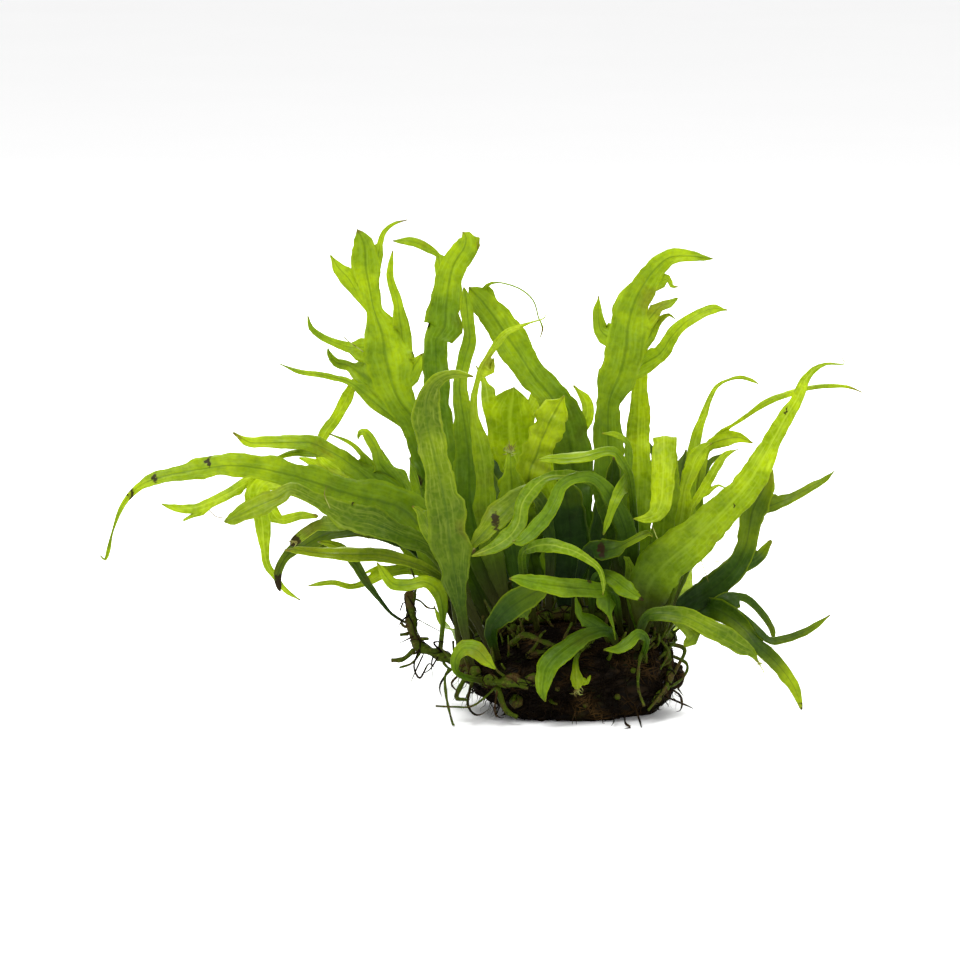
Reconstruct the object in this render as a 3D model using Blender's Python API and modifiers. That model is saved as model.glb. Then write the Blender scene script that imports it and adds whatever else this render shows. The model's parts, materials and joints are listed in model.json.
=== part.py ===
# Java fern on driftwood
# A lace-tipped fern whose fronds fan out from creeping rhizomes over a gnarled piece of driftwood.
# The origin is the middle of the flat underside of the wood, +Z is up and -Y is the front.

import math

import bmesh
import bpy
from mathutils import Matrix, Vector, noise
from mathutils.bvhtree import BVHTree

MM = 0.001

# Driftwood
WOOD_LENGTH = 54 * MM
WOOD_DEPTH = 40 * MM
WOOD_HEIGHT = 26 * MM
WOOD_CENTRE = Vector((0.5, 1, 9.5)) * MM
WOOD_BOXINESS = 0.86
WOOD_RIDGES = 7
WOOD_RIDGE_DEPTH = 0.05
WOOD_LUMP_DEPTH = 0.14
WOOD_SEGMENTS = 26
WOOD_RINGS = 15
STUB_WIDTH = 7 * MM
STUB_STEPS = ((0.55, 0.85), (0.45, 0.75))
# Each broken stub: the way it points and its length
STUBS = (((0.93, 0.1, -0.1), 3 * MM), ((-0.75, 0.6, 0.1), 6 * MM), ((0.3, 0.95, -0.15), 5 * MM))
# Where the underside starts to rise towards the left end, and the way up out of that slope
WORN_START = Vector((-13, 0, 0)) * MM
WORN_NORMAL = Vector((9, 0, 14)).normalized()

# Fronds
LEAF_THICKNESS = 0.6 * MM
LEAST_WIDTH = 0.6 * MM
BROAD_LEAF = 4.5 * MM
LEAF_CUP = 0.12
FOOT_GAP = 0.65 * MM

# Rhizomes
BARK_GAP = 0.4 * MM
HUG_REACH = 7 * MM
RHIZOME_STEP = 2.6 * MM
KNOB_EVERY = 6.5 * MM
KNOB_SWELL = 0.2

# The fronds' places are given as an eye sees them from the front, a little above the object:
# across and up are measured in the upright plane through SEEN_MIDDLE that faces the eye,
# and back is the depth, +Y, behind the middle of the wood. Up starts at the foot's front edge, which
# the eye sees FOOT_DROP lower than the foot's middle.
VIEW_DISTANCE = 1.5
VIEW_RISE = math.radians(8)
SEEN_MIDDLE = Vector((-22.5, 0, 60.5)) * MM
FOOT_DROP = Vector((0, 0, 2)) * MM

COLOURS = {
    "young": (0.36, 0.52, 0.03),
    "mature": (0.17, 0.34, 0.03),
    "shaded": (0.07, 0.17, 0.02),
    "grey": (0.24, 0.38, 0.12),
    "rhizome": (0.12, 0.14, 0.02),
    "wood": (0.035, 0.022, 0.014),
}


def material(finish, roughness=0.45):
    """One Principled material for each finish."""
    name = "fern_" + finish
    found = bpy.data.materials.get(name)
    if found:
        return found
    made = bpy.data.materials.new(name)
    made.use_nodes = True
    shader = made.node_tree.nodes["Principled BSDF"]
    shader.inputs["Base Color"].default_value = (*COLOURS[finish], 1)
    shader.inputs["Roughness"].default_value = roughness
    shader.inputs["Metallic"].default_value = 0
    return made


def clear_scene():
    for thing in list(bpy.data.objects):
        bpy.data.objects.remove(thing, do_unlink=True)


def collection(name):
    made = bpy.data.collections.new(name)
    bpy.context.scene.collection.children.link(made)
    return made


def add_object(name, shape, group, finish, roughness=0.45):
    """An object from a bmesh, which is freed."""
    mesh = bpy.data.meshes.new(name)
    shape.to_mesh(mesh)
    shape.free()
    made = bpy.data.objects.new(name, mesh)
    mesh.materials.append(material(finish, roughness))
    group.objects.link(made)
    return made


def seen(across, up, back):
    """The point, in metres, that the eye sees at across and up, in mm, at the depth back, in mm."""
    forward = Vector((0, math.cos(VIEW_RISE), -math.sin(VIEW_RISE)))
    upward = Vector((0, math.sin(VIEW_RISE), math.cos(VIEW_RISE)))
    eye = SEEN_MIDDLE - FOOT_DROP - forward * VIEW_DISTANCE
    in_plane = Vector((across * MM - SEEN_MIDDLE.x, 0, 0)) + upward * (up * MM - SEEN_MIDDLE.z)
    ray = forward * VIEW_DISTANCE + in_plane
    return eye + ray * ((back * MM - eye.y) / ray.y)


def facing(swing, tilt):
    """The way a blade's front turns: 0, 0 is toward -Y, swing turns it to +X and tilt lifts it."""
    turn, lift = math.radians(swing), math.radians(tilt)
    return Vector((math.sin(turn) * math.cos(lift), -math.cos(turn) * math.cos(lift), math.sin(lift)))


def rows_along(path, turns, start=None):
    """Middle, side direction, front and half width of a blade at each of the path's points."""
    points = [seen(*step[:3]) for step in path]
    before = [start or points[0]] + points[:-1]
    after = points[1:] + [points[-1]]
    rows = []
    side = None
    for number, (point, step) in enumerate(zip(points, path)):
        share = number / max(1, len(path) - 1) * (len(turns) - 1)
        first = min(int(share), max(0, len(turns) - 2))
        last = min(first + 1, len(turns) - 1)
        mix = share - first
        swing = turns[first][0] * (1 - mix) + turns[last][0] * mix
        tilt = turns[first][1] * (1 - mix) + turns[last][1] * mix
        tangent = (after[number] - before[number]).normalized()
        crossing = tangent.cross(facing(swing, tilt))
        if crossing.length > 0.2 or side is None:
            side = crossing.normalized()
        open_to_eye = math.hypot(side.x, side.z)
        half = max(step[3] * MM, LEAST_WIDTH) / 2 / max(open_to_eye, 0.5)
        rows.append((point, side, side.cross(tangent).normalized(), half))
    return rows


def grow(shape, front_row, rows):
    """Extrudes a row of vertices through the given rows and returns every row."""
    grown = [front_row]
    for middle, side, front, half in rows:
        last = grown[-1]
        edges = [shape.edges.get((a, b)) for a, b in zip(last, last[1:])]
        made = bmesh.ops.extrude_edge_only(shape, edges=edges)["geom"]
        fresh = {v for v in made if isinstance(v, bmesh.types.BMVert)}
        follow = []
        for vert in last:
            follow.append(next(e.other_vert(vert) for e in vert.link_edges if e.other_vert(vert) in fresh))
        place_row(follow, middle, side, front, half)
        grown.append(follow)
    return grown


def place_row(verts, middle, side, front, half):
    """Spreads a row of vertices over the blade's width, its middle a little sunk."""
    for number, vert in enumerate(verts):
        share = 2 * number / (len(verts) - 1) - 1
        vert.co = middle + side * half * share - front * half * LEAF_CUP * (1 - abs(share))


def add_lobes(shape, rows, lobes):
    """Grows each lobe out of its side of the parent, between two of the parent's rows."""
    for lobe in lobes:
        first, last = lobe["rows"]
        edge = 0 if lobe["side"] == "left" else -1
        margin = [row[edge] for row in rows[first:last + 1]]
        if lobe["side"] == "right":
            margin.reverse()
        start = sum((vert.co for vert in margin), Vector()) / len(margin)
        grown = grow(shape, margin, rows_along(lobe["path"], lobe["turns"], start))
        add_lobes(shape, grown, lobe["lobes"])


def frond(name, finish, path, turns, group, lobes=()):
    """One leaf: an open blade with its side lobes, given its thickness by Solidify."""
    shape = bmesh.new()
    rows = rows_along(path, turns)
    columns = 3 if max(step[3] for step in path) * MM >= BROAD_LEAF else 2
    first = [shape.verts.new((number, 0, 0)) for number in range(columns)]
    for a, b in zip(first, first[1:]):
        shape.edges.new((a, b))
    place_row(first, *rows[0])
    grown = grow(shape, first, rows[1:])
    add_lobes(shape, grown, lobes)
    made = add_object(name, shape, group, finish)
    made["foot_width"] = columns
    wall = made.modifiers.new("thickness", "SOLIDIFY")
    wall.thickness = LEAF_THICKNESS
    wall.offset = 0
    return made


def branch(side, first, path, turns=((0, 35),), lobes=()):
    """A lobe that grows out of one side of its parent, between the rows first and first + 1."""
    return {"side": side, "rows": (first, first + 1), "path": path, "turns": turns, "lobes": lobes}


def left_fronds(group):
    frond("frond_left_arch", "mature", [
        (-24, 24.5, -6, 2), (-31.5, 38.5, -7, 8), (-41, 52.5, -9, 9), (-55, 57, -11, 7),
        (-70, 61.8, -13, 5.6), (-82.5, 64, -14, 5), (-91, 63.4, -15, 4.4), (-102, 61.2, -16, 3),
        (-108, 58.6, -16.5, 2), (-112, 53.8, -17, 1.2), (-114.4, 47.5, -17, 0.8),
        (-115.4, 43, -17, 1.1), (-116.2, 40.6, -17, 0.9), (-117.4, 41.6, -17, 0.6)],
        [(0, 25), (0, 45), (0, 30)], group)
    frond("frond_left_yellow", "young", [
        (-25, 22, 10, 2), (-38, 42, 12, 5), (-48, 53, 14, 6), (-62, 59, 15, 5), (-74, 60.5, 15, 5),
        (-78, 57.5, 15, 6), (-77, 50.5, 15, 4), (-76, 40.5, 15, 2), (-74, 36.8, 15, 1.6),
        (-71.2, 33, 15, 1.4), (-67.5, 30.5, 15, 0.7)],
        [(0, 25), (0, 30), (0, 10)], group, [
            branch("right", 4, [(-85, 57.2, 14, 2.5), (-90, 54.8, 13, 2.4), (-95, 53.2, 13, 2.2),
                                (-99, 53.5, 13, 1.6), (-102, 54.5, 13, 0.7)],
                   lobes=[branch("left", 2, [(-96.5, 50.5, 13, 0.8)])]),
            branch("left", 5, [(-72.5, 50.5, 14, 2), (-67.5, 51.5, 13, 2), (-63.5, 51.5, 13, 1)])])
    frond("frond_left_upper", "mature", [
        (-24, 25, 1, 2), (-35, 45.5, 1, 7), (-42.5, 54.2, 1, 7), (-50, 60.5, 0, 6.2),
        (-53.8, 63.5, 0, 4.5), (-57.5, 66.2, -1, 4), (-61.2, 68.2, -1, 3.6), (-65, 69.8, -2, 3.5),
        (-70, 69.8, -2, 3.4), (-75, 69.8, -3, 3), (-80, 69.8, -3, 2), (-84, 72.2, -3, 0.8)],
        [(0, 20), (0, 40), (0, 45)], group, [
            branch("right", 2, [(-47.5, 64.5, 1, 3), (-48.2, 67.5, 2, 2.8), (-49.5, 70.2, 3, 2.5),
                                (-51.2, 72.4, 3, 2), (-52.6, 72.2, 3, 1.4), (-53, 70.8, 3, 0.7)]),
            branch("right", 3, [(-52, 67, -1, 1.2), (-55, 69.8, -2, 1), (-60, 72, -3, 0.7)]),
            branch("left", 6, [(-69, 67.2, -1, 1.5), (-75.5, 65.2, -1, 0.8)])])
    frond("frond_yellow_strap", "young", [
        (-22, 22, 13, 2), (-36, 44, 17, 5), (-44, 54, 20, 6), (-50, 59, 22, 6), (-56, 62.5, 23, 5),
        (-61, 65.5, 24, 4), (-62.5, 69, 25, 3), (-61, 72.5, 26, 3), (-58.5, 76, 27, 3),
        (-56, 80.5, 28, 3), (-54, 85, 29, 2)],
        [(0, 20), (0, 20), (10, 10)], group, [
            branch("left", 4, [(-64.5, 65, 23, 2), (-67.5, 66, 23, 0.8)])])
    frond("frond_left_folded", "grey", [
        (-22, 22.5, -11, 2), (-32.5, 41, -16, 4), (-42.5, 46.8, -18, 5), (-49.5, 49.8, -18, 7),
        (-55, 51, -19, 6), (-60, 53.5, -20, 4.5), (-65, 56, -21, 3), (-69.8, 58, -21, 3),
        (-73, 56.2, -22, 4), (-77, 54.5, -22, 5), (-81.2, 52.5, -22, 4), (-84.5, 50.8, -22, 3),
        (-86, 50.2, -22, 1)],
        [(0, 20), (0, 40), (0, 20)], group, [
            branch("left", 4, [(-63, 49, -18, 2.5), (-66.5, 46.8, -18, 2.5), (-69, 44.8, -18, 2)])])
    frond("frond_dark_ended", "shaded", [
        (-27, 21, 4, 1.5), (-36, 40, 4, 2), (-44, 45.5, 3, 2.5), (-52, 48, 3, 3.4),
        (-58.8, 47.6, 2, 4.4), (-63, 46, 2, 4.4), (-66.4, 44, 2, 3.2), (-69, 43, 1, 3),
        (-71.5, 40.5, 1, 2.2), (-73, 37, 1, 2), (-72.8, 34, 1, 1.5), (-72.5, 32.8, 1, 0.8)],
        [(0, 30), (0, 40), (0, 10)], group, [
            branch("left", 5, [(-60, 44.5, 3, 1.2), (-57, 43.2, 4, 0.7)])])
    frond("frond_pale_left", "grey", [
        (-26, 20, -11, 1.3), (-29.5, 32, -11, 1.3), (-31.2, 35.2, -11.5, 1.5),
        (-35, 37.8, -12, 2), (-38.8, 39.5, -12.5, 2.5), (-43.8, 41, -13, 3), (-48.8, 41.8, -13, 2.8),
        (-55, 41.8, -13, 2.8), (-60, 42, -13, 2.5), (-63.8, 42.2, -13, 2), (-67.5, 42.8, -13, 1.5),
        (-71.2, 43, -13, 0.7)],
        [(0, 20), (0, 50), (0, 50)], group)
    frond("frond_left_down", "shaded", [
        (-41, 24, -4, 0.8), (-44.5, 27, -4, 0.9), (-47.4, 30.4, -4, 1.1), (-49.4, 33, -4, 1.7),
        (-51.3, 35.7, -4, 2.3), (-53.9, 39.8, -4, 2.5), (-57, 43.2, -4, 2.4),
        (-60, 44.6, -4, 1.8), (-62.8, 45, -4, 0.8)],
        [(0, 10)], group)
    frond("frond_thin_left", "young", [
        (-27, 19, 7.5, 1), (-32, 33, 7, 1), (-38, 37.5, 7, 2), (-45.5, 37.5, 7, 2.6),
        (-49.5, 35.8, 6, 2.2), (-52, 34.5, 6, 1.6), (-55, 33.8, 5, 1.3), (-58.8, 34.8, 5, 1.2),
        (-62.5, 34.5, 5, 1), (-65.5, 34, 5, 0.6)],
        [(0, 40)], group, [
            branch("right", 3, [(-50, 37.8, 7, 0.9), (-52, 36.8, 7, 0.6)])])
    frond("frond_looping", "mature", [
        (-31.8, 18.5, -10, 1.1), (-31.8, 24.5, -12, 1.2), (-32.1, 29.5, -13.5, 2.8),
        (-33.2, 33, -15, 3.8), (-36.5, 35, -16, 3), (-40.2, 34.2, -16, 2.8),
        (-44.2, 34.5, -16, 2.6), (-46.6, 37.2, -16, 2), (-48.2, 39.8, -16, 0.7)],
        [(10, 10), (0, 30), (0, 30)], group)


def upper_fronds(group):
    frond("frond_upper_left", "mature", [
        (-22, 24, 6, 3), (-30, 45, 9, 9), (-33.8, 60.5, 13, 8.2), (-36.2, 68, 15, 7.8),
        (-39.2, 75.5, 17, 7.6), (-43.5, 82, 18, 7.5), (-46, 91, 20, 12), (-47, 97, 21, 9),
        (-49, 103, 22, 4.5), (-50, 108, 22, 5.6), (-51, 113.5, 22, 7.2), (-51.3, 118.5, 22, 6.6),
        (-52.2, 121.2, 22, 4), (-53.1, 123, 22, 0.8)],
        [(0, 5), (15, 10), (-10, 5)], group, [
            branch("left", 4, [(-54.5, 84.5, 18, 1.5), (-58.8, 86, 17, 1.4), (-62.5, 86.8, 17, 1.3),
                               (-67.5, 87.5, 17, 1.2), (-72.5, 89.5, 17, 0.6)]),
            branch("left", 5, [(-55, 88.8, 22, 2.5), (-58.5, 89.8, 23, 2), (-60.2, 92, 23, 1.2),
                               (-60.5, 93.4, 23, 0.7)]),
            branch("left", 6, [(-55, 93.5, 20, 2.4), (-59, 94.8, 19, 1.9), (-62.5, 96.6, 19, 1.7),
                               (-64.8, 98.6, 19, 1.4), (-65.5, 101.5, 19, 0.7)]),
            branch("right", 5, [(-38.5, 89.5, 19, 4), (-37, 92, 19, 0.8)]),
            branch("right", 6, [(-42.4, 99.5, 21, 4), (-43.1, 105, 21, 2.6), (-44.1, 108.1, 21, 2.3),
                                (-45, 111.2, 21, 2), (-44.8, 114.6, 21, 1.4), (-44.3, 117.8, 21, 0.7)]),
            branch("left", 8, [(-55.2, 110.6, 22, 4.4), (-57.8, 113.4, 22, 3), (-59.8, 116.5, 22, 0.8)]),
            branch("right", 10, [(-47.5, 119.5, 22, 1.6), (-46.4, 122.6, 22, 1.2),
                                 (-44, 124.6, 22, 0.9), (-40.8, 125.5, 22, 0.6)])])
    frond("frond_upper_middle", "mature", [
        (-20, 25, 3, 2.5), (-22.6, 32, 3.6, 5), (-28.5, 45, 5, 8), (-31, 62, 7, 9), (-33, 78, 9, 7),
        (-33.5, 93, 11, 6), (-33.2, 96, 11.5, 6), (-31.4, 98.6, 12, 8.4), (-31, 104, 12, 8),
        (-30, 111, 12, 6.8), (-28.8, 115, 12, 6), (-26.5, 118.5, 12, 5.6), (-26, 121, 12, 4.4),
        (-26.7, 122.4, 12, 0.8)],
        [(0, 5), (-15, 5), (20, 5)], group, [
            branch("left", 9, [(-33, 116.6, 12, 1.2), (-35.7, 118.4, 11, 1.8), (-38, 119.5, 11, 2.2),
                               (-40.3, 120.1, 11, 2), (-42.6, 120.2, 11, 1.1), (-44.3, 120.3, 11, 0.6)]),
            branch("right", 11, [(-23, 121, 12, 1), (-23, 118.4, 12, 0.7)])])
    frond("frond_inner_strap", "mature", [
        (-17, 25, -2, 2), (-24, 48, 1, 8), (-25.5, 68, 2, 7), (-27.5, 83, 3, 4),
        (-26.5, 90, 4, 3.2), (-25, 95.5, 4, 3.2), (-25.5, 101, 5, 3), (-26, 106, 5, 2.4),
        (-26.5, 108.5, 5, 0.8)],
        [(0, 0), (-25, 5), (10, 5)], group)
    frond("frond_twisted", "young", [
        (-14, 25, -6, 1.5), (-20, 45, -4, 6), (-21.5, 65, -4, 5), (-24, 78, -4, 1.8),
        (-22.7, 86.7, -4, 1.3), (-20.2, 91.6, -4, 1.3), (-16.6, 96.8, -4, 1.4),
        (-13.1, 98.6, -4, 1.2), (-10.1, 99.8, -4, 0.8), (-6.4, 101, -4, 0.7), (-6, 102.6, -4, 0.6)],
        [(0, 0), (-60, 10), (30, 10)], group, [
            branch("right", 4, [(-19.8, 88, -4, 2.4), (-19.2, 90.8, -4, 0.8)])])
    frond("frond_broad_diagonal", "mature", [
        (2, 26, 8, 2.5), (2, 45, 14, 8), (1, 62, 18, 10), (-1, 74, 20, 10), (-4.5, 81, 21, 8),
        (-9, 86.5, 22, 7), (-13, 92.5, 22, 8), (-17, 98.5, 22, 8), (-21, 104, 21, 6.8),
        (-23.6, 107, 20, 5.4), (-25, 108.4, 19, 1)],
        [(0, 5), (15, 15), (0, 10)], group, [
            branch("right", 8, [(-20.6, 109.2, 19, 1), (-17.8, 109.9, 18, 0.7), (-12.7, 108.4, 17, 0.7),
                                (-9.2, 105.4, 17, 0.7), (-7.8, 101, 17, 0.7), (-6.8, 98.5, 17, 0.8),
                                (-7.5, 96, 17, 0.6)])])
    frond("frond_diagonal_yellow", "young", [
        (6, 28, 17, 1.2), (5.4, 34, 19, 3), (2, 45, 24, 7), (-3, 60, 30, 9), (-4.2, 68, 33, 3),
        (0, 72, 34, 3.5), (3.8, 75.5, 35, 3.5), (4, 80, 36, 3), (1, 84, 36, 0.8)],
        [(0, 10), (20, 15)], group)
    frond("frond_grey_back", "grey", [
        (-7, 25, 11, 2), (-10, 45, 11.5, 7), (-10.4, 60, 11.5, 8), (-8.4, 67, 11.5, 7),
        (-6, 73, 11.5, 7.6), (-3.4, 78, 12, 6.6), (-1.6, 81.4, 12, 0.8)],
        [(0, 10)], group)


def front_fronds(group):
    frond("frond_front_tall", "grey", [
        (-26, 20.5, -16, 1.6), (-27, 26.5, -19, 2.5), (-28.8, 36.8, -23, 7), (-30, 45.5, -25, 10),
        (-31, 53, -26.5, 9.5), (-32.5, 60.5, -28, 7.5), (-34.2, 68, -29, 7), (-35.8, 75.5, -30, 6.8),
        (-35.8, 81, -31, 5.4), (-33.8, 84.9, -33, 3.8), (-30.6, 86.8, -34, 2.4), (-27.4, 87, -35, 1.9),
        (-24.4, 86.4, -36, 0.8)],
        [(0, 5), (-10, 10), (10, -5), (0, -30)], group, [
            branch("left", 3, [(-37.5, 52.5, -25, 2), (-39.2, 53.8, -25, 0.8)])])
    frond("frond_spotted_grey", "grey", [
        (-4, 29, -3, 2), (-5, 45, -4, 3), (-7, 54, -8, 4), (-11, 56.5, -12, 5),
        (-15.8, 53, -16, 6), (-18.8, 50.2, -18, 6), (-21.2, 47.5, -20, 4.5), (-24, 44.5, -21, 2),
        (-25, 43, -21, 0.8)],
        [(0, 10), (-20, 50), (-20, 30)], group)
    frond("frond_arc_one", "young", [
        (14, 25, -3, 1.8), (12.5, 42, -8, 6), (9, 54, -12, 5), (5.5, 60, -14, 2.6),
        (1.2, 61.5, -14, 2.4), (-2.5, 61.5, -15, 2.4), (-6.2, 60.8, -17, 2.6), (-9.6, 58, -19, 3.4),
        (-12, 54.2, -21, 3.6), (-12.8, 49.8, -23, 3.6), (-15, 46.4, -25, 4), (-18.5, 44, -26, 3),
        (-21.5, 42.6, -27, 2), (-24.5, 41.5, -27, 0.7)],
        [(0, 10), (-20, 50), (-20, 20)], group)
    frond("frond_arc_two", "mature", [
        (17, 25, -6, 1.8), (15, 42, -12, 5.5), (11, 55, -18, 4), (6, 61, -21, 2.6),
        (1, 60.8, -22, 2.6), (-2.2, 58.8, -23, 3), (-3.6, 55.5, -24, 3.2), (-5.2, 52.6, -25, 3.6),
        (-7.4, 49.8, -27.5, 4), (-10, 47, -29.5, 3.6), (-12.6, 45, -30.5, 2), (-14.2, 45.2, -31, 0.7)],
        [(0, 10), (-10, 50), (-20, 20)], group)
    frond("frond_arc_three", "young", [
        (-9, 24, -11, 1.4), (-12, 40, -24, 2), (-9.5, 43.6, -32, 2.6), (-5, 44.2, -35, 3.4),
        (-2, 43.6, -36, 2.6), (1.5, 42.4, -37, 1.8), (4.8, 40.4, -38, 1.6), (7.4, 38, -38.5, 1.2),
        (8.4, 34.4, -39, 1), (8.2, 31.8, -39, 0.6)],
        [(0, 0), (0, 50), (30, 30)], group)
    frond("frond_arc_four", "mature", [
        (14, 24.5, -9, 1.6), (11, 32, -19, 2.2), (6, 33, -27, 4), (0, 33.5, -31, 4),
        (-5, 34.2, -33, 3.6), (-10, 35, -34, 3), (-13, 35.8, -34, 1.8), (-15, 35.8, -34, 0.7)],
        [(0, 20), (-10, 50)], group, [
            branch("left", 1, [(9.8, 27, -25, 1.2), (10.8, 24, -26.5, 0.8), (11.4, 20.6, -27, 0.6)])])
    frond("frond_arc_five", "mature", [
        (5, 25, -9, 1.6), (6, 35, -15, 2), (8.8, 36.6, -18, 3), (11.2, 35.4, -21, 4),
        (13.6, 33.6, -24, 4), (16, 31.8, -26, 2.4), (18.2, 30.5, -27, 0.7)],
        [(0, 10), (20, 50)], group)
    frond("frond_broken_brown", "shaded", [
        (1, 25, -6, 1.6), (2, 35, -13, 2), (5, 42.5, -18, 4), (8, 43, -20, 5), (11, 43.2, -21, 4),
        (14, 44.6, -22, 1.8), (17, 46.2, -23, 1.8), (19.5, 47.2, -23, 1.2), (20.6, 46.4, -23, 0.6)],
        [(0, 20), (0, 40)], group)
    frond("frond_level", "mature", [
        (16.5, 25, 0, 1.5), (16.5, 45, -6, 1.6), (15.4, 58, -12, 1.8), (14.5, 62.5, -15, 2),
        (13, 65, -17, 2), (11, 67.4, -19, 2.2), (8, 67.4, -20, 2.2), (4, 66.2, -21, 2.4),
        (-1.2, 65.6, -22, 2.2), (-5, 65.8, -22, 1.6), (-8, 65.4, -22, 0.7)],
        [(0, 10), (-20, 50), (0, 50)], group, [
            branch("left", 2, [(11.6, 56, -21.5, 2.4), (9.6, 50.5, -22, 1.8), (8.4, 47, -22, 0.8)],
                   ((-20, 10),)),
            branch("right", 3, [(14.4, 69.6, -17, 1.4), (11.6, 71.8, -18, 1.4),
                                (8.2, 72.2, -19, 0.7)])])
    frond("frond_upright_short", "shaded", [
        (7, 29, -1, 1.6), (7.3, 33, -1, 4.6), (8, 45, -1, 7), (9.6, 55.5, -3, 6), (10.8, 62, -5, 3.4),
        (11, 66.5, -6, 0.8)],
        [(-10, 5)], group)
    frond("frond_crested", "mature", [
        (-10, 29, -2, 1.5), (-14, 45, -1, 7), (-14.5, 58, -2, 7), (-14.8, 64, -3, 3),
        (-15, 67.5, -3, 1.4)],
        [(10, 5)], group)
    frond("frond_shaded_middle", "shaded", [
        (-2, 25, 3, 2), (-0.8, 31, 4.4, 5.4), (-0.4, 35, 4.4, 9.4), (0, 41, 4, 11), (0, 49, 4, 11),
        (-1, 56, 4, 8), (-2, 62, 4, 1)],
        [(0, 20)], group)


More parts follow.
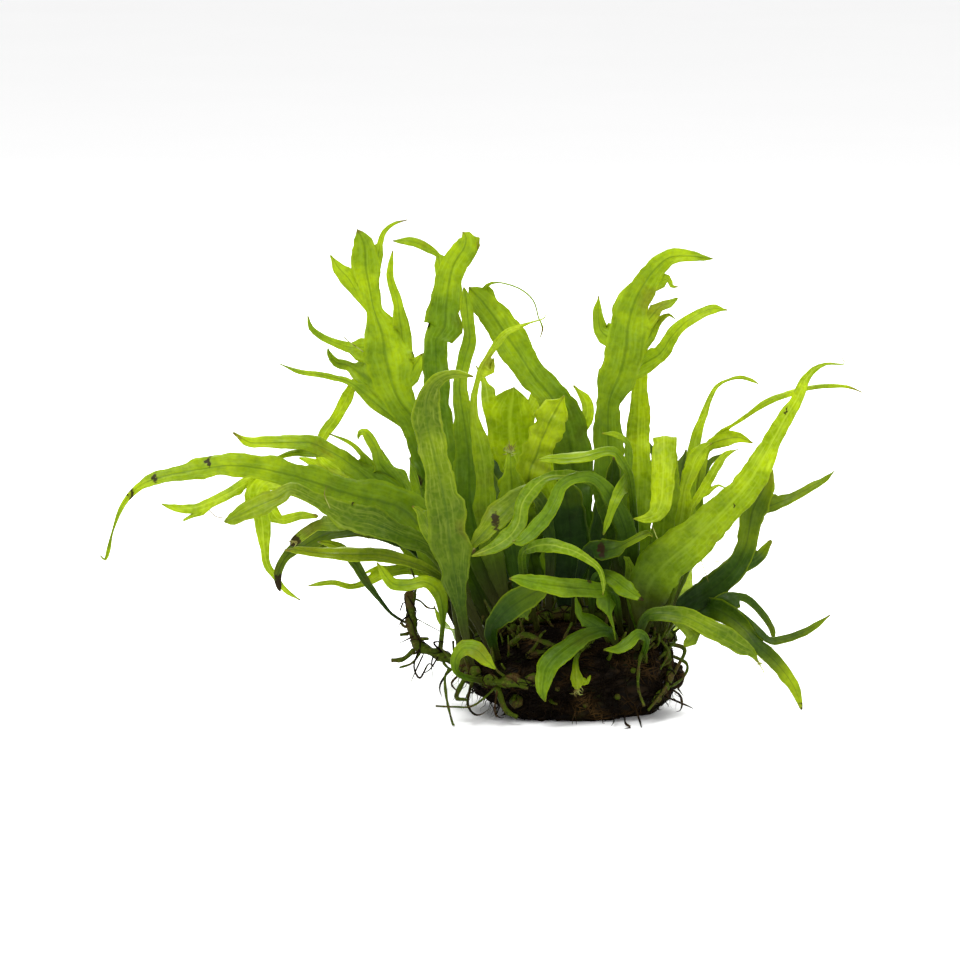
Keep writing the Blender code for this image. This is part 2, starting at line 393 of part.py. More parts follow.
def right_fronds(group):
    frond("frond_drooping", "young", [
        (20, 25, -6, 2), (23, 45, -10, 6), (24.5, 58, -13, 5.5), (24.2, 68.5, -15, 5.6),
        (23.6, 71.2, -18, 5.8), (23.4, 67, -21, 5.8), (23.2, 61, -22.5, 5.8), (22.8, 55, -23.5, 5.4),
        (21.2, 51.8, -24.5, 3.6), (18.6, 50.8, -25, 2), (16, 50.8, -25, 0.7)],
        [(0, 0), (0, -10), (0, -150), (0, -170), (0, -170)], group)
    frond("frond_folded_yellow", "young", [
        (22, 24, -2, 2), (26, 42, -5, 5.5), (27.8, 52, -8, 5), (28.6, 58, -9, 3), (30, 62, -10, 4.5),
        (31.6, 66, -10, 4.5), (33.8, 68.8, -10, 2.6), (35.2, 69.6, -10, 0.8)],
        [(0, 5), (25, 15)], group)
    frond("frond_thread_tipped", "young", [
        (24, 23.5, 2, 1.6), (27, 42, 3, 5), (29, 55, 3, 4.6), (30.5, 64, 3, 3), (31.5, 71, 3, 3),
        (33.2, 76, 3, 2), (34.8, 80.5, 4, 1.2), (36.8, 84, 5, 0.9), (39.5, 85.5, 6, 0.7),
        (42.5, 86.2, 7, 0.6), (47.2, 84.5, 8, 0.6)],
        [(0, 5), (25, 10)], group)
    frond("frond_dark_upper", "shaded", [
        (26, 22.5, 6, 1.6), (29.5, 45, 9, 5), (32, 60, 10, 3), (34, 68, 10, 2.2), (36.5, 70, 10, 3),
        (39.5, 70.8, 9, 4), (42.5, 71, 9, 2.2), (45.5, 69.8, 9, 0.7)],
        [(0, 5), (10, 45)], group, [
            branch("left", 4, [(40.4, 74, 8, 0.9), (44, 76.4, 7, 0.8), (49, 79.8, 6, 0.8),
                               (54.5, 82, 6, 0.8), (59.5, 83.4, 6, 0.9), (64.5, 84, 6, 1),
                               (69.2, 83.8, 6, 0.9), (73, 82.4, 6, 0.6)])])
    frond("frond_narrow", "young", [
        (24, 22, -9, 1.4), (28, 40, -12, 1.4), (30, 52, -14, 1.2), (32.2, 56.5, -14, 2),
        (34.5, 60, -14, 2.4), (36.8, 64, -14, 2.2), (38.8, 66.8, -13, 1.5), (42, 68.2, -13, 0.6)],
        [(0, 5), (10, 20)], group, [
            branch("right", 3, [(35.6, 58.4, -14, 1), (37.2, 59.2, -14, 0.8), (39, 58.4, -14, 0.6)])])
    frond("frond_long_right", "young", [
        (18.6, 24, -13, 3), (19.2, 32.2, -17.5, 9.6), (23.6, 39, -20.5, 11.6), (30.6, 45.2, -22, 9.6),
        (39.5, 54, -23, 8), (44.8, 60, -23, 7), (48, 65.5, -23, 6), (50.8, 70.5, -22, 5),
        (53.5, 75.5, -21, 4), (56.5, 80.5, -20, 3), (58.6, 85, -19, 2.5), (61, 88, -18, 1.8),
        (64, 89.5, -18, 0.9), (68.5, 89.5, -18, 0.7), (68, 91, -18, 0.6)],
        [(0, 10), (10, 25), (10, 10)], group, [
            branch("left", 0, [(15, 39, -15, 2), (13.6, 41.2, -14, 0.8)])])
    frond("frond_upper_right", "mature", [
        (11, 25, 4, 2.5), (10.5, 45, 8, 8), (10, 60, 11, 8), (9.5, 75, 14, 7), (10, 81, 15, 7),
        (12.5, 87, 16, 10), (14, 93, 17, 11), (14.5, 99, 18, 9.5), (16, 104.5, 18, 8.5),
        (18.5, 109.5, 18, 6.5), (21.5, 113.5, 18, 5), (25, 116.2, 18, 4), (30, 116.5, 17, 2.6),
        (33.5, 116, 16, 1.4), (35.8, 115.8, 16, 0.6)],
        [(0, 5), (10, 10), (0, 20)], group, [
            branch("left", 6, [(7.5, 98, 17, 3.5), (7, 102.5, 16, 2.4), (7.2, 106.5, 16, 0.7)]),
            branch("right", 5, [(22.5, 92, 15, 3.8), (25, 95.7, 14, 3.4), (28, 99, 13, 2.9),
                                (31.5, 101.5, 13, 2.6), (35.5, 103.2, 13, 2.2), (39.2, 103, 13, 0.7)]),
            branch("right", 6, [(21.4, 99.4, 19, 2.2), (23.2, 101, 20, 1.4), (24.8, 101.8, 20, 0.9),
                                (26.2, 100.8, 20, 0.6)]),
            branch("right", 7, [(22.4, 103.6, 18, 2.4), (24.8, 104.6, 18, 2), (26.6, 105.8, 18, 0.9)]),
            branch("right", 9, [(24.6, 110.8, 18, 1.6), (25.4, 109, 17, 1), (27, 108.8, 17, 0.6)])])
    frond("frond_upright_strap", "young", [
        (16, 24.5, 8, 2), (16.5, 45, 14, 8), (17, 60, 18, 8), (17, 72, 21, 5.5),
        (17.5, 85, 24, 4), (17.5, 97, 25, 4), (17, 104, 26, 3), (16.5, 107, 26, 0.8)],
        [(0, 5), (-20, 10)], group)
    frond("frond_dark_right", "shaded", [
        (21, 22, 9, 2.5), (28, 28.5, 11, 5), (36, 32, 13, 7), (41.5, 35.5, 14, 7.5), (46.2, 40, 15, 8),
        (48.8, 46.5, 16, 8.5), (48.4, 53, 17, 9), (49, 58, 17, 7), (49.5, 63, 17, 3),
        (49.8, 65.5, 17, 0.8)],
        [(0, 20), (0, 20), (0, 5)], group, [
            branch("right", 1, [(36, 27.4, 9, 6), (41, 23.8, 6, 6), (45, 20, 3, 5), (48.5, 16.4, 0, 4.2),
                                (52, 12.8, -2, 3.6), (54.8, 9.2, -3, 3), (57, 6.2, -5, 2.2),
                                (58.2, 4.2, -7, 1.4), (58.8, 3, -9, 0.8)],
                   ((0, 40), (20, 30)), [
                branch("left", 0, [(43.5, 29, 9, 2), (46.5, 27.4, 9, 2.2), (49.2, 25, 9, 2.2),
                                   (51, 22, 9, 1.8), (51.8, 18.4, 9, 0.7)]),
                branch("left", 2, [(50.8, 20.4, 1, 1.8), (54.6, 20.6, 0, 1.8), (58.6, 22, 0, 1.6),
                                   (62.5, 23.8, 0, 1.4), (65.5, 26, 0, 0.7)])]),
            branch("right", 6, [(54, 55.2, 17, 2), (57, 55.8, 17, 1.6), (60.5, 58.2, 17, 1.3),
                                (63.5, 60, 17, 1), (66.8, 61.6, 17, 0.6)])])
    frond("frond_pale_right", "grey", [
        (17, 20, -14, 1.6), (18.4, 25.4, -19, 2.2), (21.8, 27, -21, 3.4), (25.8, 26.8, -21.5, 4),
        (30, 25.8, -22, 3.8), (34.4, 23.5, -22, 4.4), (38.8, 21.2, -22, 4.6), (42.4, 19.1, -22, 3.8),
        (45.4, 17.4, -22, 2), (46.8, 15.2, -22, 0.8)],
        [(0, 20), (10, 50)], group, [
            branch("right", 3, [(31, 21.8, -21, 4.6), (29.2, 19.6, -21, 2)])])


def low_fronds(group):
    frond("frond_front_curl", "mature", [
        (12, 20, -15, 1.8), (9.5, 22.6, -20, 2.5), (5, 21.8, -23, 3), (1, 19.5, -25, 4),
        (-2.5, 17, -26, 4.8), (-5.5, 14, -27, 5), (-6.5, 10.5, -27, 4), (-6.8, 7.5, -27, 2.5),
        (-6.2, 5.2, -27, 0.7)],
        [(0, 20), (-20, 40), (-20, 0)], group, [
            branch("right", 1, [(2.6, 26.4, -23, 1.8), (2, 28.6, -23, 1.6), (1.5, 31, -23, 0.8)])])
    frond("frond_ragged", "young", [
        (3.4, 18, -17, 1), (1.4, 15.4, -21, 1.2), (1.4, 13, -22.5, 1.7), (1.7, 11, -23, 3.2),
        (1.8, 9.2, -23, 2.6), (1.8, 8, -23, 0.8)],
        [(0, 0)], group, [
            branch("left", 3, [(4.2, 10, -23, 1.2), (5, 11.4, -23, 0.8)])])
    frond("frond_small_right", "mature", [
        (19.5, 16, -16, 1.2), (19.2, 20.2, -20.5, 1.5), (17, 22, -23, 2.6), (14.2, 19.6, -25, 3),
        (11.6, 18.2, -25.5, 2), (8.6, 18.1, -26, 0.7)],
        [(0, 20), (-10, 40)], group)
    frond("frond_small_low", "mature", [
        (-25.4, 9, -20, 1.2), (-28, 12, -23, 1.5), (-28.6, 15.8, -24.5, 2.4), (-26.4, 18.4, -26, 3.4),
        (-23.4, 18, -27, 3.8), (-21, 15.6, -27.5, 3.2), (-18.8, 13.4, -28, 0.8)],
        [(0, 20), (0, 40), (0, 20)], group)
    frond("frond_diagonal_low", "shaded", [
        (-20, 18, -16, 1.8), (-19.8, 22.4, -20, 3), (-17.8, 25.8, -23, 5), (-14.6, 28.8, -25, 6.4),
        (-11, 31.2, -26, 6.4), (-7.4, 33.2, -27, 4.8), (-4.6, 34.6, -28, 0.8)],
        [(0, 10), (-10, 20)], group, [
            branch("right", 3, [(-10.6, 25.6, -26, 0.8)])])


def back_frond(number, path, group):
    """A frond on the far side, with a narrow branch on each side below its tip."""
    name = ("one", "two", "three", "four", "five", "six", "seven", "eight", "nine", "ten")[number]
    middle, tip = path[-2], path[-1]
    spread = 5 if number % 2 else 7
    left = (middle[0] - spread, middle[1] + 4, middle[2] + 3)
    right = (middle[0] + spread, middle[1] + 2, middle[2] + 4)
    lobes = [
        branch("left", len(path) - 3, [(*left, 1.6), (left[0] - 2, left[1] + 4, left[2] + 2, 0.7)]),
        branch("right", len(path) - 3, [(*right, 1.4), (right[0] + 3, right[1] + 2, tip[2] + 2, 0.7)])]
    finish = ("mature", "shaded", "young")[number % 3]
    frond("frond_back_" + name, finish, path, [(0, 40), (0, 60)], group, lobes)


def back_fronds(group):
    paths = [
        [(-18, 21, 16, 2), (-27, 38, 28, 5), (-35, 51, 37, 6.5), (-38, 60, 44, 4), (-40, 66, 48, 0.8)],
        [(-10, 22, 17, 2), (-15, 40, 30, 5), (-20, 55, 41, 7), (-22, 66, 48, 4), (-23, 71, 51, 0.8)],
        [(-2, 23, 18, 2), (-7, 42, 29, 7), (-12, 60, 34, 9), (-14.5, 69, 36, 12), (-15, 76, 37, 13.5),
         (-14.4, 81, 38, 8), (-14, 83.6, 38.5, 0.8)],
        [(8, 22, 18, 2), (11, 36, 32, 5), (14, 48, 43, 6), (16, 55, 50, 4), (17, 58, 54, 0.8)],
        [(15, 22, 17, 2), (21, 40, 27, 5), (25, 54, 36, 6), (28, 63, 42, 4), (29, 68, 45, 0.8)],
        [(22, 20, 15, 2), (28, 31, 25, 4), (28, 38, 34, 5), (26, 42, 40, 3), (25, 44, 43, 0.8)],
        [(-8, 18, 19, 2), (-8, 26, 34, 5), (-8, 25, 48, 6), (-8, 19, 58, 4), (-8, 15, 62, 0.8)],
        [(5, 18, 22, 2), (6, 26, 36, 5), (7, 26, 49, 6), (7.5, 21, 58, 4), (8, 16, 62, 0.8)],
        [(17, 15, 18, 2), (20, 24, 30, 4), (22, 25, 42, 5), (23, 22, 49, 3), (24, 18, 52, 0.8)],
        [(-18, 15, 18, 2), (-22, 24, 30, 4), (-25, 24, 40, 5), (-27, 21, 46, 3), (-28, 18, 49, 0.8)],
    ]
    for number, path in enumerate(paths):
        back_frond(number, path, group)


def wood_point(direction):
    """The bark's place in a direction from the wood's middle: a boxy log with ridges along it."""
    boxy = [math.copysign(abs(part) ** WOOD_BOXINESS, part) for part in direction]
    around = math.atan2(direction.z, direction.y)
    ridge = math.sin(WOOD_RIDGES * around + 2 * direction.x) * (1 - direction.x ** 2)
    lump = noise.noise(Vector((direction.x * 1.6, direction.y * 2.4, direction.z * 2.4)))
    swell = 1 + WOOD_RIDGE_DEPTH * ridge + WOOD_LUMP_DEPTH * lump
    half = Vector((WOOD_LENGTH, WOOD_DEPTH, WOOD_HEIGHT)) / 2
    return WOOD_CENTRE + Vector(side * size * swell for side, size in zip(boxy, half))


def add_stub(shape, direction, length):
    """Draws a broken branch stub out of the bark in a direction."""
    way = Vector(direction).normalized()
    root = wood_point(way)
    patch = [f for f in shape.faces
             if (f.calc_center_median() - root).length < STUB_WIDTH / 2 and f.normal.dot(way) > 0]
    for step, taper in STUB_STEPS:
        made = bmesh.ops.extrude_face_region(shape, geom=patch)["geom"]
        bmesh.ops.delete(shape, geom=patch, context="FACES")
        patch = [f for f in made if isinstance(f, bmesh.types.BMFace)]
        rim = list({v for f in patch for v in f.verts})
        middle = sum((v.co for v in rim), Vector()) / len(rim)
        for vert in rim:
            vert.co = middle + (vert.co - middle) * taper + way * length * step


def driftwood(group):
    """The gnarled log lying across, cut flat below and worn away under its left end."""
    shape = bmesh.new()
    lying = Matrix.Rotation(math.pi / 2, 4, "Y")
    bmesh.ops.create_uvsphere(shape, u_segments=WOOD_SEGMENTS, v_segments=WOOD_RINGS, radius=1, matrix=lying)
    for vert in shape.verts:
        vert.co = wood_point(vert.co)
    shape.normal_update()
    for direction, length in STUBS:
        add_stub(shape, direction, length)
    for place, normal in ((Vector(), Vector((0, 0, 1))), (WORN_START, WORN_NORMAL)):
        everything = shape.verts[:] + shape.edges[:] + shape.faces[:]
        bmesh.ops.bisect_plane(shape, geom=everything, plane_co=place, plane_no=normal, clear_inner=True)
        rim = [edge for edge in shape.edges if edge.is_boundary]
        bmesh.ops.edgeloop_fill(shape, edges=rim)
    bmesh.ops.recalc_face_normals(shape, faces=shape.faces)
    return add_object("driftwood", shape, group, "wood", 0.8)


def smooth_route(points, step):
    """Points about a step apart on a smooth curve through the given points."""
    ends = [points[0] * 2 - points[1]] + points + [points[-1] * 2 - points[-2]]
    route = [points[0]]
    for a, b, c, d in zip(ends, ends[1:], ends[2:], ends[3:]):
        count = max(1, round((c - b).length / step))
        for number in range(1, count + 1):
            t = number / count
            route.append(0.5 * (2 * b + (c - a) * t + (2 * a - 5 * b + 4 * c - d) * t ** 2
                                + (3 * b - a - 3 * c + d) * t ** 3))
    return route


def rhizome(name, path, radius, bark, group):
    """A knobby creeping stem: a tube that follows the bark where it comes near it."""
    curve = bpy.data.curves.new(name, "CURVE")
    curve.dimensions = "3D"
    curve.bevel_depth = radius
    curve.bevel_resolution = 1
    curve.use_fill_caps = True
    route = []
    for point in smooth_route([seen(*place) for place in path], RHIZOME_STEP):
        near, normal, _, distance = bark.find_nearest(point)
        if distance < HUG_REACH:
            point = near + normal * (radius * (1 + KNOB_SWELL) + BARK_GAP)
        route.append(point)
    spline = curve.splines.new("POLY")
    spline.points.add(len(route) - 1)
    travelled = 0
    for number, point in enumerate(route):
        travelled += (point - route[max(0, number - 1)]).length
        spline.points[number].co = (*point, 1)
        spline.points[number].radius = 1 + KNOB_SWELL * math.sin(2 * math.pi * travelled / KNOB_EVERY)
    spline.points[0].radius = spline.points[-1].radius = 0.6
    curve.materials.append(material("rhizome", 0.6))
    made = bpy.data.objects.new(name, curve)
    group.objects.link(made)
    return made


def rhizomes(wood, group):
    bark = surface_of([wood])
    return [
        rhizome("rhizome_left", [(-40, 33, -4), (-39.8, 27, -4), (-39.2, 22, -4), (-37.6, 18.8, -5),
                                 (-33, 17, -8), (-29, 14, -14), (-26, 11, -17), (-21, 9.5, -20),
                                 (-12, 10, -22), (-7, 11, -22)], 1.25 * MM, bark, group),
        rhizome("rhizome_front", [(-12, 20, -18), (-9, 20, -18.5), (-6, 19.5, -19), (-2, 19.5, -19),
                                   (2, 20, -18), (6, 21, -17)], 0.8 * MM, bark, group),
        rhizome("rhizome_right", [(21, 23, -8), (26, 20, -8), (28, 16, -8), (26, 11, -11),
                                  (22.5, 7, -14), (20, 4, -16)], 0.85 * MM, bark, group),
        rhizome("rhizome_crown", [(-25, 22, -2), (-17, 25, -4), (-8, 25, -2), (1, 25, 1),
                                  (10, 25, -1), (18, 24, 1), (25, 20, 2)], 1.6 * MM, bark, group),
        rhizome("rhizome_back", [(-6, 22, 15), (0, 22, 15), (7, 22, 14), (13, 22, 13),
                                 (20, 18, 12)], 1.5 * MM, bark, group),
    ]


def surface_of(objects):
    """One search tree over the evaluated surfaces of the objects, in world space."""
    depsgraph = bpy.context.evaluated_depsgraph_get()
    corners, faces = [], []
    for thing in objects:
        evaluated = thing.evaluated_get(depsgraph)
        mesh = evaluated.to_mesh()
        shift = len(corners)
        corners += [thing.matrix_world @ vert.co for vert in mesh.vertices]
        faces += [[shift + number for number in face.vertices] for face in mesh.polygons]
        evaluated.to_mesh_clear()
    return BVHTree.FromPolygons(corners, faces)


def seat_fronds(fronds, carriers):
    """Moves each frond's foot to just off the wood or rhizome that it springs from."""
    bark = surface_of(carriers)
    for leaf in fronds:
        foot = leaf.data.vertices[:leaf["foot_width"]]
        middle = sum((vert.co for vert in foot), Vector()) / len(foot)
        near, normal, _, _ = bark.find_nearest(middle)
        for vert in foot:
            off = vert.co - middle
            off -= normal * off.dot(normal)
            vert.co = near + normal * FOOT_GAP + off


def main():
    clear_scene()
    group = collection("java_fern_on_driftwood")
    wood = driftwood(group)
    stems = rhizomes(wood, group)
    for build in (left_fronds, upper_fronds, front_fronds, right_fronds, low_fronds, back_fronds):
        build(group)
    leaves = [thing for thing in group.objects if thing.name.startswith("frond_")]
    seat_fronds(leaves, [wood] + stems)


main()
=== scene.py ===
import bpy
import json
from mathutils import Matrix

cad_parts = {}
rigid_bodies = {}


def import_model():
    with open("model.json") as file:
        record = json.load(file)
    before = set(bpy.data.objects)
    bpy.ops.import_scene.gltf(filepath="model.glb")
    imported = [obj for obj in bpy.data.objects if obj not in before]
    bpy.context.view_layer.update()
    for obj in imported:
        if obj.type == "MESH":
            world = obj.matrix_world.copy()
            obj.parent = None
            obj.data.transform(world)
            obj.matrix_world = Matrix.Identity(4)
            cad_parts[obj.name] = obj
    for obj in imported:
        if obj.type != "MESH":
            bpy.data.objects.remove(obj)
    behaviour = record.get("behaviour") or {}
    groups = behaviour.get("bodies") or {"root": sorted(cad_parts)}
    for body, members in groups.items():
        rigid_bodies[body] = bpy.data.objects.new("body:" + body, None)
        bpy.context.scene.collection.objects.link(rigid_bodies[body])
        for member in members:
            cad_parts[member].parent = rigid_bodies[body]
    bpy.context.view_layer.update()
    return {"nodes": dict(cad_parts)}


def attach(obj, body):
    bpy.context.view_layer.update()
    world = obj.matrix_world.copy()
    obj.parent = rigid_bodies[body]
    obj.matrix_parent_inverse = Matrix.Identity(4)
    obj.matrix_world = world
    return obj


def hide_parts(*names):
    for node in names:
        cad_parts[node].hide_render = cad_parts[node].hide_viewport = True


bl_info = {
    "name": "Java Fern on Driftwood",
    "version": (1, 0, 0),
    "blender": (4, 5, 0),
    "location": "View3D > Sidebar > Java Fern",
    "description": "Builds a lace-tipped fern growing from its rhizomes on a root-wrapped piece of driftwood",
    "category": "Add Mesh",
}

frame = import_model()

import json
import math
import random

import bmesh
import bpy
from bpy.props import FloatProperty, FloatVectorProperty, IntProperty, PointerProperty
from mathutils import Vector, noise
from mathutils.bvhtree import BVHTree

MM = 0.001
BODY = "root"

# The fronds' places are given as an eye sees them from the front, a little above the object:
# across and up are measured in the upright plane through SEEN_MIDDLE that faces the eye,
# and back is the depth, +Y, behind the middle of the wood. Up starts at the foot's front edge, which
# the eye sees FOOT_DROP lower than the foot's middle.
VIEW_DISTANCE = 1.5
VIEW_RISE = math.radians(8)
SEEN_MIDDLE = Vector((-22.5, 0, 60.5)) * MM
FOOT_DROP = Vector((0, 0, 2)) * MM
FORWARD = Vector((0, math.cos(VIEW_RISE), -math.sin(VIEW_RISE)))
UPWARD = Vector((0, math.sin(VIEW_RISE), math.cos(VIEW_RISE)))
EYE = SEEN_MIDDLE - FOOT_DROP - FORWARD * VIEW_DISTANCE
PICTURE_WIDTH = 240 * MM
SENSOR_WIDTH = 36


class FernSizes(bpy.types.PropertyGroup):
    """The sizes that a user would change."""
    leaf_thickness: FloatProperty(
        name="Leaf Thickness", description="Thickness of a blade beside its midrib",
        default=0.55 * MM, min=0.1 * MM, unit="LENGTH")
    margin_share: FloatProperty(
        name="Margin Thickness", description="Share of the thickness that is left at a blade's margin",
        default=0.4, min=0.1, max=1, subtype="FACTOR")
    row_step: FloatProperty(
        name="Row Step", description="Distance between two rows of a blade's faces",
        default=1.1 * MM, min=0.5 * MM, unit="LENGTH")
    rib_height: FloatProperty(
        name="Midrib Height", description="How far the midrib stands out of the blade",
        default=0.16 * MM, min=0, unit="LENGTH")
    cup: FloatProperty(
        name="Cup", description="How far a blade's margins rise above its midrib, by its half width",
        default=0.2, min=-1, max=1, subtype="FACTOR")
    ruffle: FloatProperty(
        name="Ruffle", description="How far the margins wave, as a share of half the width",
        default=0.34, min=0, max=1, subtype="FACTOR")
    stalk_width: FloatProperty(
        name="Stalk Width", description="Width of a frond's stalk where it leaves the rhizome",
        default=1.5 * MM, min=0.3 * MM, unit="LENGTH")
    root_count: IntProperty(
        name="Hair Roots", description="Number of hair roots that wrap the wood", default=1300, min=0)
    root_width: FloatProperty(
        name="Root Width", description="Thickness of a hair root",
        default=0.26 * MM, min=0.05 * MM, unit="LENGTH")
    bark_grain: FloatProperty(
        name="Bark Grain", description="Depth of the driftwood's grain and cracks",
        default=1.7 * MM, min=0, unit="LENGTH")


def colour_property(name, description, default):
    return FloatVectorProperty(name=name, description=description, default=default,
                               subtype="COLOR", size=3, min=0, max=1)


class FernColours(bpy.types.PropertyGroup):
    """The colours that a user would change."""
    young: colour_property("Young Leaf", "Yellow-green of young and backlit fronds", (0.42, 0.54, 0.004))
    mature: colour_property("Mature Leaf", "Middle green of grown fronds", (0.155, 0.265, 0.002))
    # Painted shade in part: this dark green is taken from leaves lying in shadow and given to fronds that lie
    # in shadow; old fronds are also darker.
    shaded: colour_property("Shaded Leaf", "Dark green of old fronds", (0.03, 0.07, 0.002))
    # Painted sheen in part: the leaf green is greyed the way a satin sheen looks on upper faces.
    grey: colour_property("Grey Leaf", "Grey-green of satin upper faces", (0.11, 0.18, 0.002))
    rhizome: colour_property("Rhizome", "Olive green of the creeping stems", (0.032, 0.05, 0.002))
    # Painted shade in part: the wood is darkened to near black so that the foot looks as deep in shadow as it
    # lies under the leaves.
    bark: colour_property("Driftwood", "Near-black brown of the wet wood", (0.0025, 0.0016, 0.0006))
    root: colour_property("Root", "Dark brown of the hair roots", (0.026, 0.014, 0.004))
    floor: colour_property("Floor", "Pale floor under the plant", (0.95, 0.95, 0.95))


def sizes():
    """The sizes as they are set in the scene."""
    return bpy.context.scene.fern_sizes


def colours():
    """The colours as they are set in the scene."""
    return bpy.context.scene.fern_colours


def seen(across, up, back):
    """The point, in metres, that the eye sees at across and up, in mm, at the depth back, in mm."""
    in_plane = Vector((across * MM - SEEN_MIDDLE.x, 0, 0)) + UPWARD * (up * MM - SEEN_MIDDLE.z)
    ray = FORWARD * VIEW_DISTANCE + in_plane
    return EYE + ray * ((back * MM - EYE.y) / ray.y)


def facing(swing, tilt):
    """The way a blade's front turns: 0, 0 is toward -Y, swing turns it to +X and tilt lifts it."""
    turn, lift = math.radians(swing), math.radians(tilt)
    return Vector((math.sin(turn) * math.cos(lift), -math.cos(turn) * math.cos(lift), math.sin(lift)))


def smooth_step(t):
    """Eases from 0 to 1."""
    return t * t * (3 - 2 * t)


def curve_point(a, b, c, d, t):
    """The point at t between b and c of a smooth curve through a, b, c and d."""
    return 0.5 * (2 * b + (c - a) * t + (2 * a - 5 * b + 4 * c - d) * t ** 2
                  + (3 * b - a - 3 * c + d) * t ** 3)


def spans(points):
    """Every two neighbours b and c among the points, with the ones before and after them, a and d."""
    ends = [points[0] * 2 - points[1]] + points + [points[-1] * 2 - points[-2]]
    return zip(ends, ends[1:], ends[2:], ends[3:])


def smooth_route(points, step):
    """Points about a step apart on a smooth curve through the given points."""
    route = [points[0]]
    for a, b, c, d in spans(points):
        count = max(1, round((c - b).length / step))
        route += [curve_point(a, b, c, d, number / count) for number in range(1, count + 1)]
    return route


# Fronds

RIB_SHARE = 0.1
BLADE_SHARES = (-1, -0.72, -0.4, -RIB_SHARE, 0, RIB_SHARE, 0.4, 0.72, 1)
MARGIN_WAVE = 6.5 * MM
MARGIN_WAVE_DEPTH = 0.28
MARGIN_TOOTH = 1.9 * MM
MARGIN_TOOTH_DEPTH = 0.13
RUFFLE_WAVE = 8 * MM
CRINKLE_WAVE = 2.6 * MM
CRINKLE_DEPTH = 0.12
CRINKLE_SPAN = 1.5
NARROW_HALF = 1.2 * MM
# Places far apart in the noise, so that the margins, teeth, ruffles and crinkles differ
RIGHT_NOISE = 7.3
TOOTH_NOISE = 57
RUFFLE_NOISE = 31
CRINKLE_NOISE = 83
TANGENT_STEP = 0.05
LEAST_CROSSING = 0.2
LEAST_SEEN_SHARE = 0.55
STALK_LENGTH = 9 * MM
# How much thicker than its margin a blade is at the midrib and inside, and how far out that reaches
RIB_REACH = 0.5
RIB_WEIGHT = 0.45
INNER_WEIGHT = 0.25
LEAST_WEIGHT = 0.15
LEAF_MAP_SCALE = 10
# How far each row of a rounded end lies past the last one and how wide it is, by the half width
TIP_STEPS = ((0.55, 0.7), (0.95, 0.25))
FOOT_DEPTH = 0.9 * MM
THREAD_END = 0.45
THREAD_START = 1

# How yellow each frond is within its finish, and how dark below 0. The others differ by chance.
TONES = {
    "left_arch": 0.98, "left_upper": 0.9, "left_folded": 0.35, "dark_ended": 0.5, "pale_left": 1,
    "left_down": 0.5, "thin_left": 0.4, "looping": 0.9, "upper_left": 0.85, "upper_middle": 0.5,
    "inner_strap": 0.5, "twisted": 0, "broad_diagonal": 0.5, "front_tall": 0.4, "spotted_grey": 0.3,
    "arc_one": -0.75, "arc_two": -0.1, "arc_three": -0.7, "arc_four": 0.45, "arc_five": 0.45, "level": 0.4,
    "drooping": 0.4, "folded_yellow": 0.3, "long_right": 0.5, "dark_right": 0.6, "pale_right": 0.2,
    "upper_right": 0.9, "upright_strap": 0.9, "front_curl": 0.1, "ragged": -0.1, "small_right": 0.1,
    "small_low": 0.1, "diagonal_low": 0.4, "shaded_middle": 0.2, "crested": 0.4, "upright_short": 0.3,
    "dark_upper": 1.8, "grey_back": 1.6, "back_three": 0.3}

# Fronds that are crumpled, and how much more than the others
CRUMPLED = {"grey_back": 4, "crested": 2, "broken_brown": 2.5, "ragged": 2}


class Row:
    """One row across a blade: its middle, the way to its right margin, its front and its half width."""

    def __init__(self, middle, side, front, half, along, age):
        self.middle, self.side, self.front, self.half = middle, side, front, half
        self.along, self.age = along, age


def turn_at(turns, share):
    """The swing and tilt at a share of the way along a blade, between the two turns beside it."""
    place = share * (len(turns) - 1)
    first = min(int(place), max(0, len(turns) - 2))
    last = min(first + 1, len(turns) - 1)
    mix = smooth_step(min(1, place - first))
    return [a * (1 - mix) + b * mix for a, b in zip(turns[first], turns[last])]


def fine_rows(points, widths, turns, along, ages):
    """Rows a step apart through a blade's points, and the number of the row at each point."""
    rows, marks = [], [0]
    side = None
    for span, (a, b, c, d) in enumerate(spans(points)):
        count = 2 * max(1, round((c - b).length / sizes().row_step / 2))
        for number in range(0 if span == 0 else 1, count + 1):
            t = number / count
            middle = curve_point(a, b, c, d, t)
            ahead, behind = [curve_point(a, b, c, d, t + step) for step in (TANGENT_STEP, -TANGENT_STEP)]
            tangent = (ahead - behind).normalized()
            share = (span + t) / (len(points) - 1)
            crossing = tangent.cross(facing(*turn_at(turns, share)))
            if side is None:
                side = crossing.normalized()
            elif crossing.length > LEAST_CROSSING:
                side = (side + crossing.normalized()).normalized()
            side = (side - tangent * side.dot(tangent)).normalized()
            width = widths[span] + (widths[span + 1] - widths[span]) * smooth_step(t)
            half = width / 2 / max(math.hypot(side.x, side.z), LEAST_SEEN_SHARE)
            travelled = along + (c - b).length * t
            age = ages[0] + (ages[1] - ages[0]) * share
            rows.append(Row(middle, side.copy(), side.cross(tangent).normalized(), half, travelled, age))
        along += (c - b).length
        marks.append(len(rows) - 1)
    return rows, marks


def shares_for(count):
    """Where the vertices of a row stand between its left margin, -1, and its right margin, 1."""
    if count == len(BLADE_SHARES):
        return BLADE_SHARES
    return [2 * number / (count - 1) - 1 for number in range(count)]


